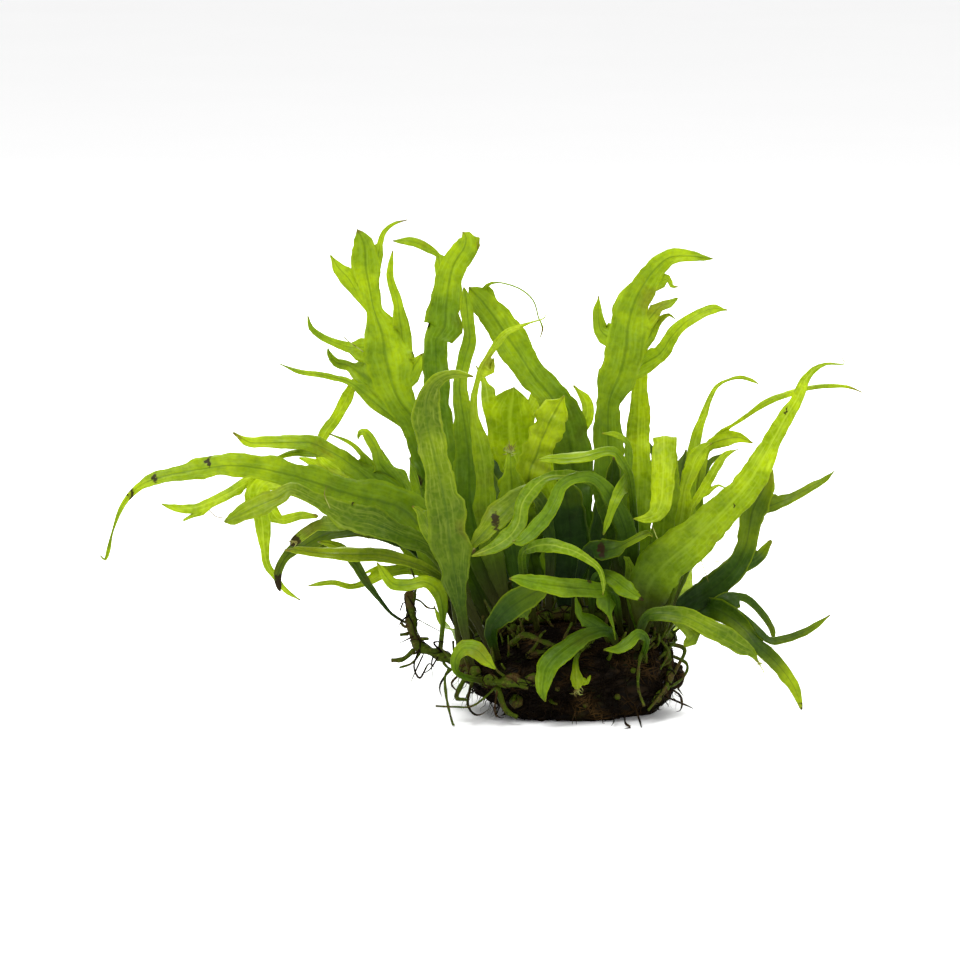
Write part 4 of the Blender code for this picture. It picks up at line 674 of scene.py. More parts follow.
def right_fronds():
    """The fronds that reach right."""
    return [
        plan("drooping", "young", [
            (20, 25, -6, 2), (23, 45, -10, 6), (24.5, 58, -13, 5.5), (24.2, 68.5, -15, 5.6),
            (23.6, 71.2, -18, 5.8), (23.4, 67, -21, 5.8), (23.2, 61, -22.5, 5.8), (22.8, 55, -23.5, 5.4),
            (21.2, 51.8, -24.5, 3.6), (18.6, 50.8, -25, 2), (16, 50.8, -25, 0.7)],
            [(0, 0), (0, -10), (0, -150), (0, -170), (0, -170)]),
        plan("folded_yellow", "young", [
            (22, 24, -2, 2), (26, 42, -5, 5.5), (27.8, 52, -8, 5), (28.6, 58, -9, 3), (30, 62, -10, 4.5),
            (31.6, 66, -10, 4.5), (33.8, 68.8, -10, 2.6), (35.2, 69.6, -10, 0.8)],
            [(0, 5), (25, 15)]),
        plan("thread_tipped", "young", [
            (24, 23.5, 2, 1.6), (27, 42, 3, 5), (29, 55, 3, 4.6), (30.5, 64, 3, 3), (31.5, 71, 3, 3),
            (33.2, 76, 3, 2), (34.8, 80.5, 4, 1.4), (36.8, 84, 5, 1), (39.5, 85.5, 6, 0.85),
            (42.5, 86.2, 7, 1), (45.5, 85.4, 8, 0.95), (47.2, 84.5, 8, 0.6)],
            [(0, 5), (25, 10)]),
        plan("dark_upper", "shaded", [
            (26, 22.5, 6, 1.6), (29.5, 45, 9, 5), (32, 60, 10, 3), (34, 68, 10, 2.2), (36.5, 70, 10, 3),
            (39.5, 70.8, 9, 4), (42.5, 71, 9, 2.2), (45.5, 69.8, 9, 0.7)],
            [(0, 5), (10, 45)], [
                branch("left", 4, [(40.4, 74, 8, 0.9), (44, 76.4, 7, 1), (49, 79.8, 6, 1.5),
                                   (54.5, 82, 6, 1.5), (59.5, 83.4, 6, 1.1), (64.5, 84, 6, 1),
                                   (69.2, 83.8, 6, 0.9), (73, 82.4, 6, 0.6)])]),
        plan("narrow", "young", [
            (24, 22, -9, 1.4), (28, 40, -12, 1.4), (30, 52, -14, 1.2), (32.2, 56.5, -14, 2),
            (34.5, 60, -14, 2.4), (36.8, 64, -14, 2.2), (38.8, 66.8, -13, 1.5), (42, 68.2, -13, 0.6)],
            [(0, 5), (10, 20)], [
                branch("right", 3, [(35.6, 58.4, -14, 1), (37.2, 59.2, -14, 0.8), (39, 58.4, -14, 0.6)])]),
        plan("long_right", "young", [
            (18.6, 24, -13, 3), (19.2, 32.2, -17.5, 9.6), (23.6, 39, -20.5, 11.6), (30.6, 45.2, -22, 9.6),
            (39.5, 54, -23, 8), (44.8, 60, -23, 7), (48, 65.5, -23, 6), (50.8, 70.5, -22, 5),
            (53.5, 75.5, -21, 4), (56.5, 80.5, -20, 3), (58.6, 85, -19, 2.5), (61, 88, -18, 1.8),
            (64, 89.5, -18, 0.9), (68.5, 89.5, -18, 0.7), (68, 91, -18, 0.6)],
            [(0, 10), (10, 25), (10, 10)], [
                branch("left", 0, [(15, 39, -15, 2), (13.6, 41.2, -14, 0.8)])]),
        plan("upper_right", "mature", [
            (11, 25, 4, 2.5), (10.5, 45, 8, 8), (10, 60, 11, 8), (9.5, 75, 14, 7), (10, 81, 15, 7),
            (12.5, 87, 16, 10), (14, 93, 17, 11), (14.5, 99, 18, 9.5), (16, 104.5, 18, 8.5),
            (18.5, 109.5, 18, 6.5), (21.5, 113.5, 18, 5), (25, 116.2, 18, 4), (30, 116.5, 17, 2.6),
            (33.5, 116, 16, 1.4), (35.8, 115.8, 16, 0.6)],
            [(0, 5), (10, 10), (0, 20)], [
                branch("left", 6, [(7.5, 98, 17, 3.5), (7, 102.5, 16, 2.4), (7.2, 106.5, 16, 0.7)]),
                branch("right", 5, [(22.5, 92, 15, 3.8), (25, 95.7, 14, 3.4), (28, 99, 13, 2.9),
                                    (31.5, 101.5, 13, 2.6), (35.5, 103.2, 13, 2.2), (39.2, 103, 13, 0.7)]),
                branch("right", 6, [(21.4, 99.4, 19, 2.2), (23.2, 101, 20, 1.4), (24.8, 101.8, 20, 0.9),
                                    (26.2, 100.8, 20, 0.6)]),
                branch("right", 7, [(22.4, 103.6, 18, 2.4), (24.8, 104.6, 18, 2), (26.6, 105.8, 18, 0.9)]),
                branch("right", 9, [(24.6, 110.8, 18, 1.6), (25.4, 109, 17, 1), (27, 108.8, 17, 0.6)])]),
        plan("upright_strap", "young", [
            (16, 24.5, 8, 2), (16.5, 45, 14, 8), (17, 60, 18, 8), (17, 72, 21, 5.5),
            (17.5, 85, 24, 4), (17.5, 97, 25, 4), (17, 104, 26, 3), (16.5, 107, 26, 0.8)],
            [(0, 5), (-20, 10)]),
        plan("dark_right", "shaded", [
            (21, 22, 9, 2.5), (27.4, 28.4, 11, 5), (33.6, 32, 13, 6.4), (38.2, 35.4, 14, 6.2),
            (41.6, 39.2, 15, 6), (43.8, 43.6, 16, 5.8), (44.8, 48.4, 17, 5.6), (45.8, 53.4, 17, 7.4),
            (48.2, 58, 17, 6), (49.2, 62, 17, 3.6), (49.4, 65.6, 17, 0.8)],
            [(0, 20), (0, 20), (0, 5)], [
                branch("right", 1, [(35.6, 28.4, 10, 5.4), (40.4, 26, 7, 5), (44, 22.8, 4, 4.4),
                                    (47.2, 19, 1, 4), (50.8, 15.6, -1, 3.8), (53.8, 12, -3, 3.4),
                                    (56, 8.6, -4, 2.8), (57.2, 5.6, -6, 1.8), (57.8, 3.4, -8, 0.9)],
                       ((0, 15), (0, 40), (20, 30)), [
                    branch("left", 1, [(42.4, 31.2, 9, 1.8), (45, 30.2, 9, 1.8), (48.2, 27, 9, 2),
                                       (50.5, 23.2, 9, 1.6), (51, 19.4, 9, 0.7)]),
                    branch("left", 2, [(49.4, 20.7, 1, 1.8), (53, 20.6, 0, 1.9), (57.5, 22, 0, 1.8),
                                       (61.3, 24, 0, 1.5), (64.9, 26.7, 0, 0.7)])]),
                branch("right", 4, [(47.8, 42, 16, 3), (50, 45, 16, 1.2)]),
                branch("right", 7, [(52.6, 55, 17, 3), (56.3, 56.5, 17, 2.2), (60.6, 58.9, 17, 2),
                                    (63.6, 60.6, 17, 1.4), (66.2, 62.8, 17, 0.6)])]),
        plan("pale_right", "grey", [
            (17, 20, -14, 1.6), (18.4, 25.4, -19, 2.2), (21.8, 27, -21, 3.4), (25.8, 26.8, -21.5, 4),
            (30, 25.8, -22, 3.8), (34.4, 23.5, -22, 4.4), (38.8, 21.2, -22, 4.6), (42.4, 19.1, -22, 3.8),
            (45.4, 17.4, -22, 2), (46.8, 15.2, -22, 0.8)],
            [(0, 20), (10, 50)], [
                branch("right", 3, [(31, 21.8, -21, 4.6), (29.2, 19.6, -21, 2)])]),
    ]


def low_fronds():
    """The short fronds in front of the wood."""
    return [
        plan("front_curl", "mature", [
            (12, 20, -15, 1.8), (9.5, 22.6, -20, 2.5), (5, 21.8, -23, 3), (1, 19.5, -25, 4),
            (-2.5, 17, -26, 4.8), (-5.5, 14, -27, 5), (-6.5, 10.5, -27, 4), (-6.8, 7.5, -27, 2.5),
            (-6.2, 5.2, -27, 0.7)],
            [(0, 20), (-20, 40), (-20, 0)], [
                branch("right", 1, [(2.6, 26.4, -23, 1.8), (2, 28.6, -23, 1.6), (1.5, 31, -23, 0.8)])]),
        plan("ragged", "young", [
            (3.4, 18, -17, 1), (1.4, 15.4, -21, 1.2), (1.4, 13, -22.5, 1.7), (1.7, 11, -23, 3.2),
            (1.8, 9.2, -23, 2.6), (1.8, 8, -23, 0.8)],
            [(0, 0)], [
                branch("left", 3, [(4.2, 10, -23, 1.2), (5, 11.4, -23, 0.8)])]),
        plan("small_right", "mature", [
            (19.5, 16, -16, 1.2), (19.2, 20.2, -20.5, 1.5), (17, 22, -23, 2.6), (14.2, 19.6, -25, 3),
            (11.6, 18.2, -25.5, 2), (8.6, 18.1, -26, 0.7)],
            [(0, 20), (-10, 40)]),
        plan("small_low", "mature", [
            (-25.4, 9, -20, 1.2), (-28, 12, -23, 1.5), (-28.6, 15.8, -24.5, 2.4), (-26.4, 18.4, -26, 3.4),
            (-23.4, 18, -27, 3.8), (-21, 15.6, -27.5, 3.2), (-18.8, 13.4, -28, 0.8)],
            [(0, 20), (0, 40), (0, 20)]),
        plan("diagonal_low", "shaded", [
            (-20, 18, -16, 1.8), (-19.8, 22.4, -20, 3), (-17.8, 25.8, -23, 5), (-14.6, 28.8, -25, 6.4),
            (-11, 31.2, -26, 6.4), (-7.4, 33.2, -27, 4.8), (-4.6, 34.6, -28, 0.8)],
            [(0, 10), (-10, 20)], [
                branch("right", 3, [(-10.6, 25.6, -26, 0.8)])]),
    ]


def back_fronds():
    """Fronds on the far side, each with a narrow branch on each side below its tip."""
    names = ("one", "two", "three", "four", "five", "six", "seven", "eight", "nine", "ten")
    paths = [
        [(-18, 21, 16, 2), (-27, 38, 28, 5), (-35, 51, 37, 6.5), (-38, 60, 44, 4), (-40, 66, 48, 0.8)],
        [(-10, 22, 17, 2), (-15, 40, 30, 5), (-20, 55, 41, 7), (-22, 66, 48, 4), (-23, 71, 51, 0.8)],
        [(-2, 23, 18, 2), (-7, 42, 29, 7), (-12, 60, 34, 9), (-14.5, 69, 36, 12), (-15, 76, 37, 13.5),
         (-14.4, 81, 38, 8), (-14, 83.6, 38.5, 0.8)],
        [(8, 22, 18, 2), (11, 36, 32, 5), (14, 48, 43, 6), (16, 55, 50, 4), (17, 58, 54, 0.8)],
        [(15, 22, 17, 2), (21, 40, 27, 5), (25, 54, 36, 6), (28, 63, 42, 4), (29, 68, 45, 0.8)],
        [(22, 20, 15, 2), (28, 31, 25, 4), (28, 38, 34, 5), (26, 42, 40, 3), (25, 44, 43, 0.8)],
        [(-8, 18, 19, 2), (-8, 26, 34, 5), (-8, 25, 48, 6), (-8, 19, 58, 4), (-8, 15, 62, 0.8)],
        [(5, 18, 22, 2), (6, 26, 36, 5), (7, 26, 49, 6), (7.5, 21, 58, 4), (8, 16, 62, 0.8)],
        [(17, 15, 18, 2), (20, 24, 30, 4), (22, 25, 42, 5), (23, 22, 49, 3), (24, 18, 52, 0.8)],
        [(-18, 15, 18, 2), (-22, 24, 30, 4), (-25, 24, 40, 5), (-27, 21, 46, 3), (-28, 18, 49, 0.8)],
    ]
    plans = []
    for number, path in enumerate(paths):
        middle, tip = path[-2], path[-1]
        apart = 5 if number % 2 else 7
        left = (middle[0] - apart, middle[1] + 4, middle[2] + 3)
        right = (middle[0] + apart, middle[1] + 2, middle[2] + 4)
        lobes = [
            branch("left", len(path) - 3, [(*left, 1.6), (left[0] - 2, left[1] + 4, left[2] + 2, 0.7)]),
            branch("right", len(path) - 3, [(*right, 1.4), (right[0] + 3, right[1] + 2, tip[2] + 2, 0.7)])]
        finish = ("mature", "shaded", "young")[number % 3]
        plans.append(plan("back_" + names[number], finish, path, [(0, 40), (0, 60)], lobes))
    return plans


# Driftwood, creeping stems and roots

WELD = 0.001 * MM
WOOD_MIDDLE = Vector((0.5, 1, 9.5)) * MM
OUTSIDE = 90 * MM

# Driftwood: its faces are split and smoothed, then raised by furrows and lumps. Its foot is worn
# unevenly, and more toward -X.
UNDERSIDE = 0.2 * MM
BARK_CUTS = 7
BARK_SMOOTHINGS = 3
BARK_SMOOTHING = 0.5
GRAIN_LONG = 9 * MM
GRAIN_ACROSS = 1.6 * MM
FURROW_SHARE = 0.3
LUMP_SHARE = 0.6
LUMP = 5 * MM
SMALL_LUMP = 2 * MM
SMALL_LUMP_SHARE = 0.6
UNEVEN_FOOT = 3.4 * MM
UNEVEN_STEP = 3 * MM
UNEVEN_LENGTH = 16 * MM
WORN_SIDE = 0.07

# Creeping stems, which hug the wood where it is near and swell into knobs, scales and dents
HUG_REACH = 7 * MM
HUG_GAP = 0.2 * MM
RHIZOME_STEP = 2.6 * MM
RHIZOME_RING = 0.5 * MM
RHIZOME_SIDES = 16
KNOB_EVERY = 6.5 * MM
KNOB_SWELL = 0.2
SCALES_PER_KNOB = 5
SCALE_SWELL = 0.1
DENT_SWELL = 0.14
DENT_SIZE = 2 * MM
DENTS_ROUND = 1.5

# Hair roots, which creep in steps, mostly downward. Their thickness is a share of the root width.
HAIR_FOOT = 1 * MM
HAIR_DRIFT = 0.7
HAIR_STEP = 1.3 * MM
HAIR_LIFT = 0.12 * MM
HAIR_STEPS = (7, 26)
HAIR_CURL = 0.3
HAIR_SHARE = (0.35, 0.8)
HAIR_FADE = 3
HAIR_SIDES = 3
ROOT_SIDES = 4

# Loose roots: felted clumps round the foot, and a fringe of fibres that droop and curl.
# Rise is how steeply they point up, and reach is their length in mm.
ROOT_SINK = 0.3 * MM
ROOT_ROW = 0.9 * MM
ROOT_FADE = 6
CLUMPS = 230
CLUMP_TOP = 8 * MM
CLUMP_SINK = 0.6 * MM
CLUMP_RISE = (-0.4, 0.1)
CLUMP_REACH = (1, 3.4)
CLUMP_RADIUS = (0.5, 1)
CLUMP_DROP = -0.8
CLUMP_SPREAD = 0.5
TRACED_ROOT_SHARE = 1.15
FRINGE_ROOTS = 420
FRINGE_FOOT = 0.5 * MM
FRINGE_STEPS = 5
FRINGE_RISE = (-0.35, 0.5)
FRINGE_REACH = (1, 4.5)
FRINGE_SHARE = (0.4, 0.8)
FRINGE_DROP = Vector((0, 0, -0.9))
FRINGE_CURL = 0.35 * MM
FRINGE_OUT = (0.3, 0.9)
FRINGE_SWING = 0.8

# Old stalks: how many grow by chance, where the eye sees them, and how long and thick they are, in mm
OLD_STALKS = 190
STALKS_ACROSS = (-42, 28)
STALKS_UP = (10, 36)
STALKS_BACK = (-22, 20)
STALK_REACH = 9 * MM
STALK_SINK = 0.4 * MM
STALK_ROW = 0.7 * MM
STALK_LENGTHS = (1.5, 6.5)
STALK_RADII = (0.28, 0.55)
STALK_LEAN = 0.45
STALK_LIFT = 0.55
STALK_BEND = 0.15
STALK_CLEARANCE = 1.3
STALK_KNOB = 1.6 * MM
STALK_SWELL = 0.3
STALK_TAPER = 0.35
STALK_CAP = 0.15 * MM
STALK_SIDES = 8

# Threads and crests
THREAD_RADIUS = 0.14 * MM
THREAD_ROW = 0.7 * MM
THREAD_FADE = 4
CREST_RADIUS = 0.26 * MM
CREST_ROW = 0.5 * MM
CREST_SPREAD = (0.5, 0.35, 0.5)
CREST_LENGTHS = (0.4, 1)
CREST_BEND = 0.2

# Each creeping stem: its path as the eye sees it, in mm, and its radius
RHIZOMES = {
    "left": ([(-40, 33, -4), (-39.8, 27, -4), (-39.2, 22, -4), (-37.6, 18.8, -5), (-33, 17, -8),
              (-29, 14, -14), (-26, 11, -17), (-21, 9.5, -20), (-12, 10, -22), (-7, 11, -22)], 1.25 * MM),
    "front": ([(-12, 20, -18), (-9, 20, -18.5), (-6, 19.5, -19), (-2, 19.5, -19), (2, 20, -18),
               (6, 21, -17)], 0.8 * MM),
    "right": ([(21, 23, -8), (26, 20, -8), (28, 16, -8), (26, 11, -11), (22.5, 7, -14), (20, 4, -16)],
              0.85 * MM),
    "crown": ([(-25, 22, -2), (-17, 25, -4), (-8, 25, -2), (1, 25, 1), (10, 25, -1), (18, 24, 1),
               (25, 20, 2)], 1.6 * MM),
    "back": ([(-6, 22, 15), (0, 22, 15), (7, 22, 14), (13, 22, 13), (20, 18, 12)], 1.5 * MM),
}

BUD_RISE = 0.35
BUD_SWELL = 0.25
BUD_LUMPS = 1.4

# Buds on the wood: place as the eye sees it, in mm, and radius
BUDS = [((5, 4.25, -20), 0.7 * MM), ((11.75, 6.25, -19), 0.8 * MM), ((-20.9, 31.4, -8), 1.5 * MM),
        ((-14, 3, -20), 1.7 * MM), ((16, 12, -18), 0.7 * MM), ((-3, 8, -21), 0.6 * MM)]

# Loose roots that the photo shows round the foot and along the left rhizome
LOOSE_ROOTS = [
    [(-26, 9, -17), (-25.5, 5, -21), (-24.5, 2.4, -24), (-22.5, 1.8, -26), (-19.7, 3.6, -27)],
    [(-19, 6, -20), (-18.8, 2.5, -23), (-17, 1, -25), (-15.8, 1.8, -26)],
    [(10.5, 3, -19), (11, 0.5, -22), (10.2, -1.2, -25)],
    [(15, 2, -18), (13.8, -0.2, -22), (15, -1.4, -25), (13, -4, -28)],
    [(17.2, 4, -17), (17.6, -0.3, -22), (18, -2.8, -26)],
    [(25, 8, -12), (27.2, 7, -14), (28, 5, -17), (27.6, 3, -20), (26, 2.4, -22)],
    [(25, 4, -12), (29.5, 4, -16), (31, 3.2, -19)],
    [(-38, 22, -5), (-41, 20.5, -6), (-44.2, 19, -7)],
    [(-37.6, 19, -6), (-39, 14, -8), (-37.5, 11, -10), (-35.2, 14.6, -11), (-33, 12.2, -12)],
    [(-39.6, 27, -5), (-42, 25.4, -6), (-43.6, 22.5, -7)],
    [(-33, 16.5, -9), (-35.2, 13, -10), (-38.4, 11.6, -12)],
    [(-34, 17, -7), (-34.6, 14.4, -8), (-34.2, 10.2, -9)],
    [(-36.4, 18, -6), (-38.2, 13.6, -7), (-39.6, 10.4, -8), (-40.2, 8.6, -9)],
    [(-30.6, 15, -12), (-31.2, 11.5, -13), (-32.6, 8.6, -15), (-31.8, 5.6, -17)],
    [(-31, 19.5, -9), (-34, 19.9, -9), (-29, 19.8, -10)],
    [(-28.4, 13.5, -15), (-29.6, 9.8, -18), (-28.2, 7.4, -20), (-29.6, 5, -21)],
]

# Old stalks that the photo shows: their points as the eye sees them, in mm, and their thickness
TRACED_STALKS = [
    ([(20.1, 23.1, -12), (17.9, 17.3, -17), (17, 9.3, -20), (18.5, 4, -20)], 0.5),
    ([(27, 17, -6), (29.2, 14.5, -7), (28.2, 11, -9), (24.5, 8.4, -13)], 0.45),
    ([(25.6, 20.5, -4), (28.6, 18.2, -5), (26.8, 13.7, -9), (23.2, 7.5, -15), (19.6, 3, -19)], 0.55),
    ([(22, 21.5, -9), (24.6, 17.5, -12), (22.6, 13.2, -15)], 0.4),
    ([(-17, 23.5, -12), (-11.5, 21.8, -18), (-7, 20.2, -20), (-3.6, 19, -21)], 0.9),
    ([(-25.9, 10, -20), (-28.2, 12.5, -21), (-28.6, 16, -22)], 0.6),
    ([(-20, 9.5, -20), (-16, 9.8, -21.5), (-10.5, 8.6, -22)], 0.8),
    ([(-19.4, 6.5, -20), (-16.2, 3.2, -21), (-13.2, 1.2, -21)], 0.9),
    ([(-38.6, 18.4, -5), (-41.6, 15.8, -6), (-44.6, 15.4, -7)], 0.75),
    ([(-39.4, 24.5, -4), (-41.2, 23.8, -5), (-42.2, 24.8, -5)], 0.5),
    ([(-39.6, 31, -4), (-37.4, 30.2, -5), (-35.6, 28.6, -6), (-33.8, 28.4, -7)], 0.3),
    ([(-38.6, 26, -4), (-35, 24, -5), (-32, 22.4, -6)], 0.16),
    ([(-19.7, 4, -21), (-24, 4.2, -22), (-29, 3.8, -23), (-33.5, 4, -24)], 0.32),
    ([(-29, 15, -13), (-31, 12, -15), (-31, 7, -18), (-30, 2, -21), (-29, -1.5, -23)], 0.42),
    ([(-29.4, 10.5, -16), (-28.4, 6.4, -18), (-26, 5.6, -19)], 0.7),
    ([(-27.4, 8.4, -18), (-25.6, 5.2, -20), (-24.8, 2.6, -21)], 0.45),
    ([(-37, 18, -6), (-39.4, 14.8, -7), (-42.6, 13.6, -8)], 0.4),
    ([(-40.4, 22, -4), (-42.4, 21.8, -5)], 0.6),
    ([(-37.8, 21, -5), (-35.4, 20.8, -6)], 0.5),
    ([(-6.6, 24, 3), (-6.4, 29, 4), (-6, 34, 5)], 0.9),
    ([(-8.6, 24, 2), (-8.4, 28, 3), (-9, 32, 4)], 0.7),
    ([(4, 24, 2), (4.2, 29, 3), (4, 34, 4)], 1),
    ([(6, 24, 1), (5.6, 28, 2), (6.2, 31, 3)], 0.7),
    ([(-15.8, 25, 0), (-15.4, 30, 1), (-15, 35, 2)], 0.9),
]

# Fine threads that hang on the fronds: their points as the eye sees them
THREADS = [
    [(30, 39.75, -21), (35.5, 40.25, -21), (39.5, 39.75, -21)],
    [(33.2, 39.75, -21), (34, 36.75, -21), (34.75, 34.75, -21)],
    [(47.4, 13.6, -21), (48.5, 12.25, -21.4), (48, 9.75, -21.6)],
    [(-90.5, 53.4, 13), (-88.75, 51.5, 13), (-86.25, 51, 13), (-84.5, 50.75, 13)],
    [(-60, 53.4, -20), (-61.4, 57, -20), (-60.6, 59.4, -20)],
    [(20.5, 48, -13), (22.4, 45, -15), (25, 44.2, -16)],
    [(-56, 94, -2), (-56.6, 96.4, -2), (-55.6, 98.4, -2)],
]

# Crested tips: place, the way that the crest points, how many threads and how long
CRESTS = [((-15, 67.3, -3), (0, -0.2, 1), 44, 3.4 * MM), ((1.6, 8.6, -22.5), (0, -0.2, -1), 14, 3.2 * MM),
          ((-22.5, 42, -21), (-0.7, -0.3, -0.6), 8, 2 * MM),
          ((47.3, 13.4, -21), (0.8, 0, -0.8), 10, 2.2 * MM),
          ((-68.9, 45, -18), (-0.6, -0.4, -0.7), 12, 2.4 * MM)]


def above_floor(route, clearance):
    """The route, with no point lower than the clearance above the floor."""
    return [Vector((point.x, point.y, max(point.z, clearance))) for point in route]


def tube(shape, route, radii, sides):
    """A grid bent round into a tube along a route. Its seam and pinched ends close when doubles merge."""
    rings = bmesh.ops.create_grid(shape, x_segments=sides, y_segments=len(route) - 1, size=1)["verts"]
    side = None
    for number, (point, radius) in enumerate(zip(route, radii)):
        ahead = route[min(number + 1, len(route) - 1)] - route[max(number - 1, 0)]
        tangent = ahead.normalized() if ahead.length > 0 else Vector((0, 0, 1))
        if side is None:
            side = tangent.orthogonal()
        side = (side - tangent * side.dot(tangent)).normalized()
        other = tangent.cross(side)
        for place in range(sides + 1):
            angle = 2 * math.pi * (place % sides) / sides
            swell = radius(angle) if callable(radius) else radius
            off = side * math.cos(angle) * swell + other * math.sin(angle) * swell
            rings[number * (sides + 1) + place].co = point + off


def tapered(thick, route, steps):
    """Radii along a route that stay thick and run out to 0 over its last steps."""
    return [thick * min(1, (len(route) - 1 - number) / steps) for number in range(len(route))]


def scatter(chance, x, y, z):
    """A random vector whose parts are spread about 0 by x, y and z."""
    return Vector((chance.gauss(0, x), chance.gauss(0, y), chance.gauss(0, z)))


def sideways(chance, rise):
    """A random way outward, which points up by something in the range rise."""
    turn = chance.uniform(0, 2 * math.pi)
    return Vector((math.cos(turn), math.sin(turn), chance.uniform(*rise))).normalized()


def rooted(bark, path, depth):
    """The points of a path that the eye sees, with the first one sunk into the wood or a stem."""
    points = [seen(*place) for place in path]
    return [sunk(bark, points[0], depth)] + points[1:]


def met_from_outside(bark, way):
    """What a ray toward the wood's middle meets when it comes from this way: a point and a normal."""
    point, normal, _, _ = bark.ray_cast(WOOD_MIDDLE + way * OUTSIDE, -way)
    return point, normal


def close_tubes(shape):
    """Merges the seams and pinched ends of all tubes in the shape."""
    bmesh.ops.remove_doubles(shape, verts=shape.verts, dist=WELD)
    bmesh.ops.recalc_face_normals(shape, faces=shape.faces)


def surface_of(names):
    """One search tree over the finished surfaces of the named objects."""
    depsgraph = bpy.context.evaluated_depsgraph_get()
    corners, faces = [], []
    for name in names:
        mesh = bpy.data.objects[name].evaluated_get(depsgraph).to_mesh()
        shift = len(corners)
        corners += [vert.co.copy() for vert in mesh.vertices]
        faces += [[shift + number for number in face.vertices] for face in mesh.polygons]
    return BVHTree.FromPolygons(corners, faces)


def carriers():
    """The surface of the wood and the creeping stems, which the fronds and roots spring from."""
    return surface_of(["driftwood_bark"] + ["creeping_stem_" + name for name in RHIZOMES])


def carve_driftwood():
    """The plain wood's skin, merged, rounded, split finely and given grain and cracks."""
    shape = bmesh.new()
    shape.from_mesh(frame["nodes"]["driftwood"].data)
    bmesh.ops.remove_doubles(shape, verts=shape.verts, dist=WELD)
    bmesh.ops.subdivide_edges(shape, edges=shape.edges, cuts=BARK_CUTS, use_grid_fill=True)
    above = [vert for vert in shape.verts if vert.co.z > UNDERSIDE]
    for _ in range(BARK_SMOOTHINGS):
        bmesh.ops.smooth_vert(shape, verts=above, factor=BARK_SMOOTHING,
                              use_axis_x=True, use_axis_y=True, use_axis_z=True)
    shape.normal_update()
    for vert in above:
        grain = Vector((vert.co.x / GRAIN_LONG, vert.co.y / GRAIN_ACROSS, vert.co.z / GRAIN_ACROSS))
        furrow = 0.5 - 2 * abs(noise.noise(grain))
        lump = noise.noise(vert.co / LUMP) + SMALL_LUMP_SHARE * noise.noise(vert.co / SMALL_LUMP)
        vert.co += vert.normal * sizes().bark_grain * (FURROW_SHARE * furrow + LUMP_SHARE * lump)
    for vert in shape.verts:
        worn = Vector((vert.co.x / UNEVEN_STEP, vert.co.y / UNEVEN_LENGTH, 0))
        uneven = UNEVEN_FOOT * noise.noise(worn)
        vert.co.z = max(vert.co.z, uneven - WORN_SIDE * vert.co.x, 0)
    made = new_piece("driftwood_bark", shape, plain_material("wet_bark"))
    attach(made, BODY)
    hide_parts("driftwood")


def dented(radius, place):
    """A stem's radius at any angle round it, dented here and there."""
    def at(angle):
        spot = Vector((math.cos(angle) * DENTS_ROUND, math.sin(angle) * DENTS_ROUND, place / DENT_SIZE))
        return radius * (1 + DENT_SWELL * noise.noise(spot))
    return at


def grow_rhizome(name, path, radius, bark):
    """A knobby creeping stem that follows the bark, ringed with old scale leaves."""
    route = []
    for point in smooth_route([seen(*place) for place in path], RHIZOME_STEP):
        near, normal, _, away = bark.find_nearest(point)
        if away < HUG_REACH:
            point = near + normal * (radius * (1 + KNOB_SWELL) + HUG_GAP)
        route.append(point)
    fine = smooth_route(route, RHIZOME_RING)
    radii, travelled = [], 0
    for number, point in enumerate(fine):
        travelled += (point - fine[max(0, number - 1)]).length
        knob = 1 + KNOB_SWELL * math.sin(2 * math.pi * travelled / KNOB_EVERY)
        scales = SCALE_SWELL * ((travelled / (KNOB_EVERY / SCALES_PER_KNOB)) % 1)
        end = min(number, len(fine) - 1 - number) * RHIZOME_RING / radius
        blunt = math.sqrt(1 - (1 - min(1, end)) ** 2)
        radii.append(dented(radius * ((knob + scales) * blunt), travelled))
    shape = bmesh.new()
    tube(shape, fine, radii, RHIZOME_SIDES)
    close_tubes(shape)
    made = new_piece("creeping_stem_" + name, shape, plain_material("olive_stem"))
    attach(made, BODY)
    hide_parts("rhizome_" + name)


def hair_roots(bark):
    """Fine roots that creep over the wood and stems, matted like felt."""
    chance = random.Random(11)
    shape = bmesh.new()
    width = sizes().root_width
    for _ in range(sizes().root_count):
        way = Vector((chance.gauss(0, 1.3), chance.gauss(0, 1), chance.gauss(0.2, 1))).normalized()
        point, normal = met_from_outside(bark, way)
        if point is None or point.z < HAIR_FOOT:
            continue
        heading = Vector((chance.gauss(0, HAIR_DRIFT), chance.gauss(0, HAIR_DRIFT),
                          -abs(chance.gauss(0.4, 0.8))))
        route = []
        for _ in range(chance.randint(*HAIR_STEPS)):
            heading += scatter(chance, HAIR_CURL, HAIR_CURL, HAIR_CURL)
            heading = (heading - normal * heading.dot(normal)).normalized()
            point, normal, _, _ = bark.find_nearest(point + heading * HAIR_STEP)
            lifted = point + normal * (HAIR_LIFT + width * 0.5 * chance.random())
            if lifted.z < width:
                break
            route.append(lifted)
        if len(route) > HAIR_FADE:
            radii = tapered(width * chance.uniform(*HAIR_SHARE), route, HAIR_FADE)
            tube(shape, route, [0] + radii[1:], HAIR_SIDES)
    close_tubes(shape)
    made = new_piece("hair_roots", shape, plain_material("root_hair"))
    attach(made, BODY)


